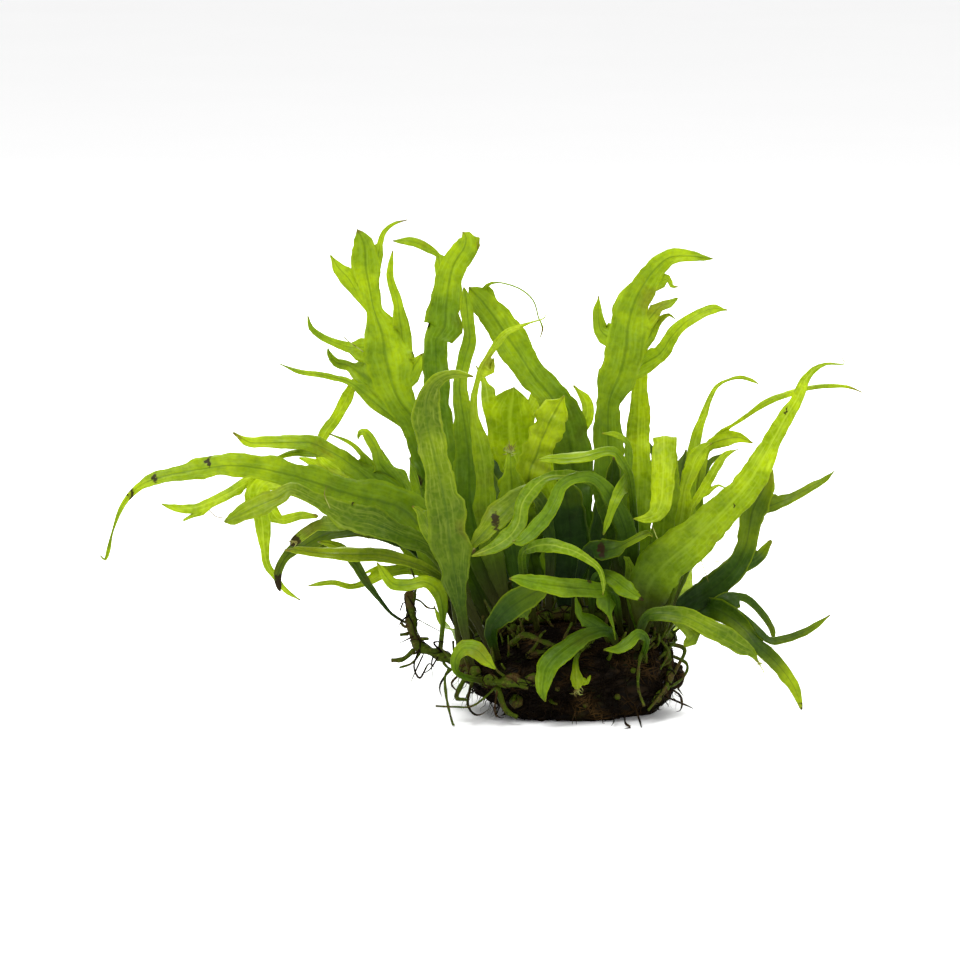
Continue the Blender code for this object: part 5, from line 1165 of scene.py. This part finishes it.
def foot_clumps(bark, chance):
    """Felted clumps round the foot: each one's points and radius."""
    clumps = []
    for _ in range(CLUMPS):
        point, normal = met_from_outside(bark, sideways(chance, CLUMP_RISE))
        if point is None or point.z > CLUMP_TOP:
            continue
        stray = Vector((chance.gauss(0, CLUMP_SPREAD), chance.gauss(0, CLUMP_SPREAD), CLUMP_DROP))
        out = (normal + stray).normalized()
        reach = chance.uniform(*CLUMP_REACH) * MM
        points = [point - normal * CLUMP_SINK, point + out * reach * 0.5, point + out * reach]
        clumps.append((points, chance.uniform(*CLUMP_RADIUS) * MM))
    return clumps


def root_fringe(bark, chance):
    """A sparse fringe of drooping, curling fibres: each one's points and radius."""
    fringe = []
    for _ in range(FRINGE_ROOTS):
        point, normal = met_from_outside(bark, sideways(chance, FRINGE_RISE))
        if point is None or point.z < FRINGE_FOOT:
            continue
        reach = chance.uniform(*FRINGE_REACH) * MM
        along = Vector((-normal.y, normal.x, 0)) * chance.uniform(-FRINGE_SWING, FRINGE_SWING)
        out = (normal * chance.uniform(*FRINGE_OUT) + along).normalized()
        points = [point - normal * ROOT_SINK]
        for step in range(1, FRINGE_STEPS + 1):
            share = step / FRINGE_STEPS
            curl = scatter(chance, 1, 1, 1) * FRINGE_CURL
            points.append(point + out * reach * share + FRINGE_DROP * reach * share ** 2 + curl)
        fringe.append((points, sizes().root_width * chance.uniform(*FRINGE_SHARE)))
    return fringe


def loose_roots(bark):
    """Root ends that stand off the wood: those that the photo shows, and more of them all round."""
    chance = random.Random(5)
    shape = bmesh.new()
    routes = foot_clumps(bark, chance)
    for path in LOOSE_ROOTS:
        routes.append((rooted(bark, path, ROOT_SINK), sizes().root_width * TRACED_ROOT_SHARE))
    routes += root_fringe(bark, chance)
    for points, thick in routes:
        route = above_floor(smooth_route(points, ROOT_ROW), thick)
        tube(shape, route, [0] + tapered(thick, route, ROOT_FADE)[1:], ROOT_SIDES)
    close_tubes(shape)
    made = new_piece("loose_roots", shape, plain_material("root_hair"))
    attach(made, BODY)


def buds(bark):
    """Round resting buds on the wood."""
    shape = bmesh.new()
    for place, radius in BUDS:
        near, normal, _, _ = bark.find_nearest(seen(*place))
        middle = near + normal * radius * BUD_RISE
        ball = bmesh.ops.create_icosphere(shape, subdivisions=3, radius=radius)["verts"]
        for vert in ball:
            swell = 1 + BUD_SWELL * noise.noise(vert.co / radius * BUD_LUMPS + middle * 300)
            vert.co = middle + vert.co * swell
            vert.co.z = max(vert.co.z, 0)
    bmesh.ops.recalc_face_normals(shape, faces=shape.faces)
    made = new_piece("buds", shape, plain_material("olive_stem"))
    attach(made, BODY)


def stalk_stumps(bark, chance):
    """Short stumps where the wood or a creeping stem is near: each one's points and radius."""
    stumps = []
    for _ in range(OLD_STALKS):
        place = seen(*[chance.uniform(*span) for span in (STALKS_ACROSS, STALKS_UP, STALKS_BACK)])
        near, normal, _, away = bark.find_nearest(place)
        if away > STALK_REACH:
            continue
        lean = Vector((chance.gauss(0, STALK_LEAN), chance.gauss(0, STALK_LEAN), STALK_LIFT))
        heading = (normal + lean).normalized()
        length = chance.uniform(*STALK_LENGTHS) * MM
        thick = chance.uniform(*STALK_RADII) * MM
        bend = Vector((chance.gauss(0, 1), chance.gauss(0, 1), 1)) * length * STALK_BEND
        start = near - normal * STALK_SINK
        stumps.append(([start, near + heading * length * 0.5, near + heading * length + bend], thick))
    return stumps


def old_stalks(bark):
    """Broken stalks of old fronds, thick on the crown and along the creeping stems."""
    shape = bmesh.new()
    routes = [(rooted(bark, path, STALK_SINK), thick * MM) for path, thick in TRACED_STALKS]
    for points, thick in routes + stalk_stumps(bark, random.Random(31)):
        route = above_floor(smooth_route(points, STALK_ROW), thick * STALK_CLEARANCE)
        radii = []
        for number, point in enumerate(route):
            swell = STALK_SWELL * noise.noise(point / STALK_KNOB)
            radii.append(thick * (1 - STALK_TAPER * number / len(route) + swell))
        end = route[-1] + (route[-1] - route[-2]).normalized() * STALK_CAP
        tube(shape, route + [end], [0] + radii[1:] + [0], STALK_SIDES)
    close_tubes(shape)
    made = new_piece("old_stalks", shape, plain_material("olive_stem"))
    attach(made, BODY)


def threads_and_crests():
    """Fine threads on the fronds and the fringed crests at some tips."""
    chance = random.Random(23)
    leaves = surface_of([thing.name for thing in bpy.data.objects if thing.name.startswith("leaf_")])
    shape = bmesh.new()
    for path in THREADS:
        points = [seen(*place) for place in path]
        points[0], _, _, _ = leaves.find_nearest(points[0])
        route = smooth_route(points, THREAD_ROW)
        tube(shape, route, tapered(THREAD_RADIUS, route, THREAD_FADE), ROOT_SIDES)
    for place, way, count, reach in CRESTS:
        near, _, _, _ = leaves.find_nearest(seen(*place))
        for _ in range(count):
            heading = (Vector(way) + scatter(chance, *CREST_SPREAD)).normalized()
            length = reach * chance.uniform(*CREST_LENGTHS)
            bend = scatter(chance, 1, 1, 1) * length * CREST_BEND
            points = [near, near + heading * length * 0.5 + bend, near + heading * length]
            route = smooth_route(points, CREST_ROW)
            tube(shape, route, tapered(CREST_RADIUS, route, len(route)), ROOT_SIDES)
    close_tubes(shape)
    made = new_piece("threads_and_crests", shape, plain_material("leaf_thread"))
    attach(made, BODY)


# Materials


def fill(tree, made, inputs):
    """Links each input that is given a socket and sets the others."""
    for key, value in inputs.items():
        if isinstance(value, bpy.types.NodeSocket):
            tree.links.new(value, made.inputs[key])
        else:
            made.inputs[key].default_value = value


def add_node(tree, kind, inputs=None, **settings):
    """Adds a shader node, sets its settings, and fills or links its inputs."""
    made = tree.nodes.new("ShaderNode" + kind)
    for key, value in settings.items():
        setattr(made, key, value)
    fill(tree, made, inputs or {})
    return made


def object_place(tree):
    """The place on the object, in metres, since every piece stands at the origin."""
    return add_node(tree, "TexCoord").outputs["Object"]


def map_parts(tree, name):
    """The two parts of a blade's map: across and along, or age and tone."""
    return add_node(tree, "SeparateXYZ", {0: add_node(tree, "UVMap", uv_map=name).outputs[0]}).outputs


def maths(tree, operation, *values):
    """One sum of numbers or sockets."""
    return add_node(tree, "Math", dict(enumerate(values)), operation=operation).outputs[0]


def vector_maths(tree, operation, *values):
    """One sum of vectors or sockets, which gives a vector."""
    return add_node(tree, "VectorMath", dict(enumerate(values)), operation=operation).outputs[0]


def distance(tree, a, b):
    """How far apart two places are."""
    return add_node(tree, "VectorMath", {0: a, 1: b}, operation="DISTANCE").outputs["Value"]


def spread(tree, value, low, high, to_low=0.0, to_high=1.0):
    """Spreads the values between low and high smoothly over to_low to to_high."""
    made = add_node(tree, "MapRange", {0: value, 1: low, 2: high, 3: to_low, 4: to_high},
                    interpolation_type="SMOOTHSTEP")
    return made.outputs[0]


def blend_colour(tree, share, a, b, blend="MIX"):
    """Mixes two colours, which are sockets or triples."""
    a, b = [side if isinstance(side, bpy.types.NodeSocket) else (*side, 1) for side in (a, b)]
    return add_node(tree, "Mix", {0: share, 6: a, 7: b}, data_type="RGBA", blend_type=blend).outputs[2]


def cloud(tree, place, scale, detail):
    """Soft noise between 0 and 1."""
    return add_node(tree, "TexNoise", {"Vector": place, "Scale": scale, "Detail": detail}).outputs[0]


def new_group(name, inputs, outputs):
    """A shader node group with named sockets, and its input and output nodes."""
    tree = bpy.data.node_groups.new(name, "ShaderNodeTree")
    for title, kind in inputs:
        tree.interface.new_socket(title, in_out="INPUT", socket_type="NodeSocket" + kind)
    for title, kind in outputs:
        tree.interface.new_socket(title, in_out="OUTPUT", socket_type="NodeSocket" + kind)
    return tree, tree.nodes.new("NodeGroupInput").outputs, tree.nodes.new("NodeGroupOutput").inputs


def use_group(tree, group, inputs):
    """Places a node group and fills or links its inputs, by their names."""
    made = tree.nodes.new("ShaderNodeGroup")
    made.node_tree = group
    fill(tree, made, inputs)
    return made.outputs


# Painted shade: fronds are darkened near the crown, where the dense middle lies in shadow
CROWN = Vector((2, 0, 30)) * MM

# How fine each kind of clouding on a leaf is, and how detailed
SKIN_CLOUDS = {"drift": (55, 2), "mottle": (150, 3), "tinge": (70, 4), "patch": (400, 2),
               "pucker": (260, 2), "speckle": (900, 3)}
STREAK_STRETCH = (16, 14, 30)
VEIN_WANDER = 1.6 * MM

# What lies over each frond's green. Shades multiply it, and the others cover it in part.
MOTTLE_SHADE = (0.5, 0.6, 0.5)
DARK_TONE_SHADE = (0.3, 0.45, 0.2)
# Painted shade: the lower part of every frond is darkened, as the dense middle shades it.
FOOT_PAINTED_SHADE = (0.16, 0.3, 0.16)
# Painted shade near the crown, where the dense middle lies in shadow.
CROWN_PAINTED_SHADE = (0.16, 0.3, 0.1)
SPECK = (0.02, 0.06, 0.002)
DARK_STREAK = (0.015, 0.05, 0.002)
BROWN_TINGE = (0.14, 0.1, 0.01)
DRY_TIP = (0.16, 0.09, 0.02)
STALK_FOOT = (0.035, 0.03, 0.006)
DARK_MARK = (0.02, 0.008, 0.003)


def streaks(tree, across, along, tone):
    """Soft streaks that run along a blade, in another place for each frond's tone."""
    parts = [maths(tree, "MULTIPLY", *part) for part in zip((across, along, tone), STREAK_STRETCH)]
    return cloud(tree, add_node(tree, "CombineXYZ", dict(enumerate(parts))).outputs[0], 1, 6)


def vein_net(tree, place):
    """A crooked net of veins: 1 on a vein and 0 between them."""
    wander = add_node(tree, "TexNoise", {"Vector": place, "Scale": 400}).outputs["Color"]
    bent = vector_maths(tree, "MULTIPLY_ADD", wander, [VEIN_WANDER] * 3, place)
    net = add_node(tree, "TexVoronoi", {"Vector": bent, "Scale": 480}, feature="DISTANCE_TO_EDGE").outputs[0]
    return spread(tree, net, 0.02, 0.2, 1, 0)


def leaf_skin():
    """Leaf skin: mottled green, vein net, midrib, thin yellow margins, dry tips, painted shade and sheen."""
    found = bpy.data.node_groups.get("leaf skin")
    if found:
        return found
    tree, given, put = new_group(
        "leaf skin",
        [("Base", "Color"), ("Young", "Color"), ("Vein", "Color"), ("Midrib", "Color"),
         ("Yellowing", "Float"), ("Veining", "Float"), ("Streaks And Sheen", "Float"), ("Marks", "Float")],
        [("Color", "Color"), ("Roughness", "Float"), ("Height", "Float")])
    place = object_place(tree)
    across, along, _ = map_parts(tree, "leaf")
    age, tone, _ = map_parts(tree, "age")
    edge = maths(tree, "ABSOLUTE", maths(tree, "SUBTRACT", across, 0.5))
    clouds = {name: cloud(tree, place, *fineness) for name, fineness in SKIN_CLOUDS.items()}
    streak = streaks(tree, across, along, tone)
    veins = vein_net(tree, place)

    older = maths(tree, "MULTIPLY_ADD", age, 0.5, -0.2)
    yellow = maths(tree, "ADD", maths(tree, "MULTIPLY_ADD", tone, 0.5, -0.25), older)
    drift = maths(tree, "MULTIPLY", maths(tree, "SUBTRACT", clouds["drift"], 0.5), 1.5)
    yellowing = maths(tree, "ADD", maths(tree, "ADD", yellow, given["Yellowing"]), drift)
    patch = maths(tree, "MULTIPLY", maths(tree, "SUBTRACT", clouds["patch"], 0.5), 0.25)
    dry = maths(tree, "ADD", age, patch)
    from_crown = distance(tree, place, CROWN)
    layers = [
        (spread(tree, clouds["mottle"], 0.38, 0.62, 0.6, 0), MOTTLE_SHADE, "MULTIPLY"),
        (spread(tree, clouds["speckle"], 0.4, 0.7, 0, 0.2), SPECK, "MIX"),
        (spread(tree, streak, 0.35, 0.65, 0.16, 0), DARK_STREAK, "MIX"),
        # Painted sheen in part: pale streaks of the vein colour along the blade stand in for glints of satin
        # sheen.
        (maths(tree, "MULTIPLY", spread(tree, streak, 0.5, 0.7), given["Streaks And Sheen"]), given["Vein"], "MIX"),
        (spread(tree, tone, -1, 0, 0.95, 0), DARK_TONE_SHADE, "MULTIPLY"),
        (spread(tree, clouds["tinge"], 0.6, 0.74, 0, 0.4), BROWN_TINGE, "MIX"),
        (maths(tree, "MULTIPLY", veins, given["Veining"]), given["Vein"], "MIX"),
        (maths(tree, "MULTIPLY", spread(tree, edge, 0.4, 0.5), 0.25), given["Young"], "MIX"),
        (spread(tree, edge, 0.01, 0.06, 0.42, 0), given["Midrib"], "MIX"),
        (spread(tree, dry, 0.95, 1.05, 0, 0.8), DRY_TIP, "MIX"),
        # Painted shade toward each frond's foot.
        (spread(tree, age, 0.05, 0.5, 0.66, 0), FOOT_PAINTED_SHADE, "MULTIPLY"),
        # Painted shade near the crown.
        (spread(tree, from_crown, 14 * MM, 40 * MM, 0.8, 0), CROWN_PAINTED_SHADE, "MULTIPLY"),
        (spread(tree, age, 0.02, 0.12, 0.8, 0), STALK_FOOT, "MIX"),
        (given["Marks"], DARK_MARK, "MIX"),
    ]
    colour = blend_colour(tree, spread(tree, yellowing, 0, 1), given["Base"], given["Young"])
    for share, over, blend in layers:
        colour = blend_colour(tree, share, colour, over, blend)
    tree.links.new(colour, put["Color"])
    tree.links.new(spread(tree, clouds["speckle"], 0.3, 0.7, 0.3, 0.46), put["Roughness"])
    relief = [maths(tree, "MULTIPLY", *part) for part in (
        (clouds["speckle"], 0.3), (streak, 0.5), (clouds["pucker"], 2.5))]
    height = maths(tree, "ADD", maths(tree, "ADD", relief[0], relief[1]), relief[2])
    tree.links.new(height, put["Height"])
    return tree


def mark_group():
    """The mask of one ragged dark mark, which fades out at about its radius and is deeper than wide."""
    found = bpy.data.node_groups.get("dark mark")
    if found:
        return found
    tree, given, put = new_group("dark mark", [("Place", "Vector"), ("Radius", "Float")], [("Mask", "Float")])
    place = object_place(tree)
    shift = cloud(tree, place, 900, 3)
    drift = add_node(tree, "TexNoise", {"Vector": place, "Scale": 850, "Detail": 4}).outputs["Color"]
    stray = vector_maths(tree, "SUBTRACT", drift, (0.5, 0.5, 0.5))
    strayed = vector_maths(tree, "MULTIPLY_ADD", stray, [MARK_WANDER] * 3, place)
    off = vector_maths(tree, "SUBTRACT", strayed, given["Place"])
    far = distance(tree, vector_maths(tree, "MULTIPLY", off, MARK_SQUEEZE), (0, 0, 0))
    ragged = maths(tree, "MULTIPLY", given["Radius"], maths(tree, "ADD", shift, 0.5))
    inside = maths(tree, "SUBTRACT", 1, maths(tree, "DIVIDE", far, ragged))
    tree.links.new(spread(tree, inside, 0, 0.4, 0, 0.92), put["Mask"])
    return tree


# How far a dark mark's rim wanders, and how the mark is squeezed across, in depth and in height
MARK_WANDER = 3 * MM
MARK_SQUEEZE = (1.3, 0.3, 0.65)

# Dark marks on the fronds of each finish: across, up and back as the eye sees them, and radius, in mm
MARKS = {
    "mature": [(-109.5, 56.5, -16, 1.2), (-90.5, 65.2, -15, 1.1), (-103.8, 60.8, -16, 1),
               (-38, 60, 13, 1.6), (7.5, 41.5, -20, 1.1), (5, 36, -28, 1), (18.2, 30.5, -27, 1.6)],
    "young": [(27.8, 64, -10, 1.1), (54.2, 77.8, -21, 0.5), (41.2, 54, -23, 0.5)],
    "shaded": [(-72.5, 34.5, 1, 2.2), (8, 43, -20, 1.4), (58.6, 3.6, -8, 1.6)],
    "grey": [(-18.6, 50.6, -18, 1.5), (-18.2, 48.4, -18, 1.3), (39.6, 17.4, -21, 1.4),
             (-68.8, 44.8, -18, 2.2), (47.4, 13.4, -21, 1.4), (-53.8, 55.2, -19, 1)],
}

LEAF_SHINE = 0.1
LEAF_BUMP = 0.45
LEAF_BUMP_DEPTH = 0.25 * MM
# How far the light that comes through a leaf is turned warmer, and by what
GLOW_SHARE = 0.55
GLOW = (1.8, 1.6, 0.6)
PLAIN_SHINE = 0.04

# How each finish is mixed: yellowing, veining, streaks and sheen, share of light let through, vein, midrib
# Streaks and sheen: pale streaks of the vein colour, which are partly painted sheen.
LEAF_FINISHES = {
    "young": (0.7, 0.12, 0.2, 0.45, (0.54, 0.64, 0.12), (0.50, 0.62, 0.06)),
    "mature": (0.3, 0.1, 0.25, 0.38, (0.27, 0.41, 0.07), (0.05, 0.11, 0.004)),
    "shaded": (0.1, 0.08, 0.15, 0.28, (0.12, 0.2, 0.03), (0.02, 0.04, 0.003)),
    "grey": (0.2, 0.14, 0.4, 0.25, (0.3, 0.36, 0.05), (0.06, 0.12, 0.008)),
}


def add_bump(tree, shader, height, strength, depth):
    """Raises the surface where the height is great."""
    bump = add_node(tree, "Bump", {"Height": height, "Strength": strength, "Distance": depth})
    tree.links.new(bump.outputs[0], shader.inputs["Normal"])


def leaf_material(finish):
    """Thin wet leaf: it shines a little and lets light through."""
    name = "leaf_" + finish
    found = bpy.data.materials.get(name)
    if found:
        return found
    made = bpy.data.materials.new(name)
    made.use_nodes = True
    tree = made.node_tree
    shader = tree.nodes["Principled BSDF"]
    out = tree.nodes["Material Output"]
    yellowing, veining, streaks_and_sheen, through, vein, midrib = LEAF_FINISHES[finish]
    mask = None
    for across, up, back, radius in MARKS[finish]:
        mark = use_group(tree, mark_group(), {"Place": seen(across, up, back), "Radius": radius * MM})["Mask"]
        mask = mark if mask is None else maths(tree, "MAXIMUM", mask, mark)
    skin = use_group(tree, leaf_skin(), {
        "Base": (*getattr(colours(), finish), 1), "Young": (*colours().young, 1),
        "Vein": (*vein, 1), "Midrib": (*midrib, 1),
        "Yellowing": yellowing, "Veining": veining, "Streaks And Sheen": streaks_and_sheen, "Marks": mask})
    tree.links.new(skin["Color"], shader.inputs["Base Color"])
    tree.links.new(skin["Roughness"], shader.inputs["Roughness"])
    shader.inputs["Specular IOR Level"].default_value = LEAF_SHINE
    add_bump(tree, shader, skin["Height"], LEAF_BUMP, LEAF_BUMP_DEPTH)
    glow = blend_colour(tree, GLOW_SHARE, skin["Color"], GLOW, "MULTIPLY")
    lit = add_node(tree, "BsdfTranslucent", {"Color": glow})
    both = add_node(tree, "MixShader", {0: through, 1: shader.outputs[0], 2: lit.outputs[0]})
    tree.links.new(both.outputs[0], out.inputs["Surface"])
    return made


# What the plain materials' colours are mixed with
BROWN_RIDGE = (0.014, 0.008, 0.003)
GREEN_FILM = (0.012, 0.02, 0.001)
BROWN_PATCH = (0.045, 0.03, 0.008)
PALE_SPECKLE = (0.12, 0.15, 0.015)
DARK_SCAR = (0.012, 0.008, 0.004)
BLACK_ROOT = (0.004, 0.0022, 0.0008)
RUSTY_ROOT = (0.1, 0.055, 0.015)
PALE_THREAD = (0.36, 0.42, 0.1)
BROWN_THREAD = (0.13, 0.09, 0.025)
FLOOR_CLOUD = 0.97


def bark_nodes(tree):
    """Wet near-black wood, partly painted shade, with brown ridges, long grain and patches of green film."""
    place = object_place(tree)
    along = add_node(tree, "Mapping", {"Vector": place, "Scale": (0.2, 1, 1)}).outputs[0]
    grain = cloud(tree, along, 700, 6)
    patch = cloud(tree, place, 120, 3)
    colour = blend_colour(tree, spread(tree, grain, 0.4, 0.7), colours().bark, BROWN_RIDGE)
    colour = blend_colour(tree, spread(tree, patch, 0.55, 0.7, 0, 0.5), colour, GREEN_FILM)
    return colour, grain, grain


def rhizome_nodes(tree):
    """Olive stem with brown patches, pale speckles and dark scars."""
    place = object_place(tree)
    patch = cloud(tree, place, 320, 3)
    fine = cloud(tree, place, 1500, 3)
    scar = add_node(tree, "TexVoronoi", {"Vector": place, "Scale": 420}).outputs["Distance"]
    colour = blend_colour(tree, spread(tree, patch, 0.45, 0.66), colours().rhizome, BROWN_PATCH)
    colour = blend_colour(tree, spread(tree, fine, 0.52, 0.75, 0, 0.5), colour, PALE_SPECKLE)
    colour = blend_colour(tree, spread(tree, scar, 0.1, 0.2, 0.8, 0), colour, DARK_SCAR)
    return colour, fine, maths(tree, "ADD", fine, scar)


def root_nodes(tree):
    """Dark root hairs, rusty brown here and there."""
    place = object_place(tree)
    patch = cloud(tree, place, 160, 3)
    fine = cloud(tree, place, 1800, 2)
    colour = blend_colour(tree, spread(tree, patch, 0.45, 0.65), BLACK_ROOT, colours().root)
    colour = blend_colour(tree, spread(tree, patch, 0.63, 0.74, 0, 0.6), colour, RUSTY_ROOT)
    return colour, fine, fine


def thread_nodes(tree):
    """Pale yellow-green threads, brown at places."""
    place = object_place(tree)
    patch = cloud(tree, place, 260, 2)
    fine = cloud(tree, place, 1800, 2)
    colour = blend_colour(tree, spread(tree, patch, 0.4, 0.62), PALE_THREAD, BROWN_THREAD)
    return colour, fine, fine


def floor_nodes(tree):
    """Pale matt floor, very slightly clouded."""
    place = object_place(tree)
    patch = cloud(tree, place, 6, 3)
    base = colours().floor
    clouded = [part * FLOOR_CLOUD for part in base]
    colour = blend_colour(tree, spread(tree, patch, 0.3, 0.7, 0, 0.3), base, clouded)
    return colour, patch, patch


# Each plain material: what draws its nodes, its least and most roughness, and its relief's depth and strength
PLAIN_MATERIALS = {
    "wet_bark": (bark_nodes, 0.35, 0.7, 0.4 * MM, 0.6),
    "olive_stem": (rhizome_nodes, 0.4, 0.65, 0.25 * MM, 0.6),
    "root_hair": (root_nodes, 0.5, 0.75, 0.05 * MM, 0.6),
    "leaf_thread": (thread_nodes, 0.4, 0.6, 0.05 * MM, 0.6),
    "pale_floor": (floor_nodes, 0.7, 0.85, 0.02 * MM, 0.1),
}


def plain_material(name):
    """A Principled material whose colour, roughness and height come from nodes that a function draws."""
    found = bpy.data.materials.get(name)
    if found:
        return found
    made = bpy.data.materials.new(name)
    made.use_nodes = True
    tree = made.node_tree
    shader = tree.nodes["Principled BSDF"]
    shader.inputs["Specular IOR Level"].default_value = PLAIN_SHINE
    draw_nodes, least, most, depth, strength = PLAIN_MATERIALS[name]
    colour, rough, height = draw_nodes(tree)
    tree.links.new(colour, shader.inputs["Base Color"])
    tree.links.new(spread(tree, rough, 0, 1, least, most), shader.inputs["Roughness"])
    add_bump(tree, shader, height, strength, depth)
    return made


# Stage

FLOOR_RADIUS = 3.0
FLOOR_SIDES = 96
WORLD_LIGHT = 0.95
LIT_PLACE = Vector((0, 0, 0.05))
# Soft boxes: place, size and power
LIGHTS = {
    "key": ((-0.4, -0.7, 1.3), 0.5, 17),
    "fill": ((0.9, -0.8, 0.6), 0.8, 4),
    "back": ((0.1, 0.9, 0.8), 0.8, 18),
}


def add_floor():
    """A round floor under the plant."""
    shape = bmesh.new()
    bmesh.ops.create_circle(shape, cap_ends=True, segments=FLOOR_SIDES, radius=FLOOR_RADIUS)
    floor = new_piece("floor", shape, plain_material("pale_floor"))


def add_light(name, place, size, power):
    """A square soft box aimed at the plant's middle."""
    data = bpy.data.lights.new(name, "AREA")
    data.size = size
    data.energy = power
    light = bpy.data.objects.new(name, data)
    light.location = place
    light.rotation_euler = (LIT_PLACE - Vector(place)).to_track_quat("-Z", "Y").to_euler()
    bpy.context.scene.collection.objects.link(light)


def add_world():
    """Even white light from all round."""
    world = bpy.data.worlds.new("studio")
    world.use_nodes = True
    sky = world.node_tree.nodes["Background"]
    sky.inputs["Color"].default_value = (1, 1, 1, 1)
    sky.inputs["Strength"].default_value = WORLD_LIGHT
    bpy.context.scene.world = world
    bpy.context.scene.view_settings.view_transform = "Standard"


def add_camera():
    """The photo's view: a long lens, a little above the object."""
    data = bpy.data.cameras.new("camera")
    data.sensor_width = SENSOR_WIDTH
    data.lens = SENSOR_WIDTH * VIEW_DISTANCE / PICTURE_WIDTH
    camera = bpy.data.objects.new("camera", data)
    camera.location = EYE
    camera.rotation_euler = FORWARD.to_track_quat("-Z", "Y").to_euler()
    bpy.context.scene.collection.objects.link(camera)
    bpy.context.scene.camera = camera


# Operators

# The random number that the first frond of each group starts from
FIRST_SEED = {"left": 0, "upper": 10, "front": 20, "right": 40, "low": 60, "back": 70}


def grow_all(plans, group):
    """Grows one group of fronds on the wood and the creeping stems."""
    bark = carriers()
    for number, each in enumerate(plans):
        frond(each, FIRST_SEED[group] + number, bark)


class FERN_OT_driftwood(bpy.types.Operator):
    """Carve the driftwood"""
    bl_idname = "fern.driftwood"
    bl_label = "Driftwood"

    def execute(self, context):
        carve_driftwood()
        return {"FINISHED"}


class FERN_OT_rhizomes(bpy.types.Operator):
    """Grow the creeping stems and their buds over the wood"""
    bl_idname = "fern.rhizomes"
    bl_label = "Rhizomes"

    def execute(self, context):
        wood = surface_of(["driftwood_bark"])
        for name, (path, radius) in RHIZOMES.items():
            grow_rhizome(name, path, radius, wood)
        buds(wood)
        return {"FINISHED"}


class FERN_OT_roots(bpy.types.Operator):
    """Wrap the wood in hair roots and let loose root ends stand off it"""
    bl_idname = "fern.roots"
    bl_label = "Roots"

    def execute(self, context):
        bark = carriers()
        hair_roots(bark)
        loose_roots(bark)
        old_stalks(bark)
        return {"FINISHED"}


class FERN_OT_left_fronds(bpy.types.Operator):
    """Grow the fronds that reach left"""
    bl_idname = "fern.left_fronds"
    bl_label = "Left Fronds"

    def execute(self, context):
        grow_all(left_fronds(), "left")
        return {"FINISHED"}


class FERN_OT_upper_fronds(bpy.types.Operator):
    """Grow the tall fronds"""
    bl_idname = "fern.upper_fronds"
    bl_label = "Upper Fronds"

    def execute(self, context):
        grow_all(upper_fronds(), "upper")
        return {"FINISHED"}


class FERN_OT_front_fronds(bpy.types.Operator):
    """Grow the fronds of the middle, which bend toward the front"""
    bl_idname = "fern.front_fronds"
    bl_label = "Front Fronds"

    def execute(self, context):
        grow_all(front_fronds(), "front")
        return {"FINISHED"}


class FERN_OT_right_fronds(bpy.types.Operator):
    """Grow the fronds that reach right"""
    bl_idname = "fern.right_fronds"
    bl_label = "Right Fronds"

    def execute(self, context):
        grow_all(right_fronds(), "right")
        return {"FINISHED"}


class FERN_OT_low_fronds(bpy.types.Operator):
    """Grow the short fronds in front of the wood"""
    bl_idname = "fern.low_fronds"
    bl_label = "Low Fronds"

    def execute(self, context):
        grow_all(low_fronds(), "low")
        return {"FINISHED"}


class FERN_OT_back_fronds(bpy.types.Operator):
    """Grow the fronds of the far side"""
    bl_idname = "fern.back_fronds"
    bl_label = "Back Fronds"

    def execute(self, context):
        grow_all(back_fronds(), "back")
        return {"FINISHED"}


class FERN_OT_threads(bpy.types.Operator):
    """Add the fine threads and the fringed crests of some tips"""
    bl_idname = "fern.threads"
    bl_label = "Threads and Crests"

    def execute(self, context):
        threads_and_crests()
        return {"FINISHED"}


class FERN_OT_stage(bpy.types.Operator):
    """Set up the floor, the light and the camera"""
    bl_idname = "fern.stage"
    bl_label = "Stage"

    def execute(self, context):
        add_floor()
        for name, (place, size, power) in LIGHTS.items():
            add_light(name, place, size, power)
        add_world()
        add_camera()
        return {"FINISHED"}


STEPS = (FERN_OT_driftwood, FERN_OT_rhizomes, FERN_OT_roots, FERN_OT_left_fronds, FERN_OT_upper_fronds,
         FERN_OT_front_fronds, FERN_OT_right_fronds, FERN_OT_low_fronds, FERN_OT_back_fronds,
         FERN_OT_threads, FERN_OT_stage)


class FERN_PT_panel(bpy.types.Panel):
    """Sizes, colours and steps of the fern"""
    bl_label = "Java Fern"
    bl_idname = "FERN_PT_panel"
    bl_space_type = "VIEW_3D"
    bl_region_type = "UI"
    bl_category = "Java Fern"

    def draw(self, context):
        for group in (sizes(), colours()):
            for name in group.bl_rna.properties.keys():
                if name not in ("rna_type", "name"):
                    self.layout.prop(group, name)
        for step in STEPS:
            self.layout.operator(step.bl_idname)


CLASSES = (FernSizes, FernColours) + STEPS + (FERN_PT_panel,)


def register():
    for each in CLASSES:
        bpy.utils.register_class(each)
    bpy.types.Scene.fern_sizes = PointerProperty(type=FernSizes)
    bpy.types.Scene.fern_colours = PointerProperty(type=FernColours)


def unregister():
    del bpy.types.Scene.fern_colours
    del bpy.types.Scene.fern_sizes
    for each in reversed(CLASSES):
        bpy.utils.unregister_class(each)


def main():
    """Builds every piece and the stage."""
    register()
    for step in STEPS:
        group, name = step.bl_idname.split(".")
        getattr(getattr(bpy.ops, group), name)()


if __name__ == "__main__":
    main()
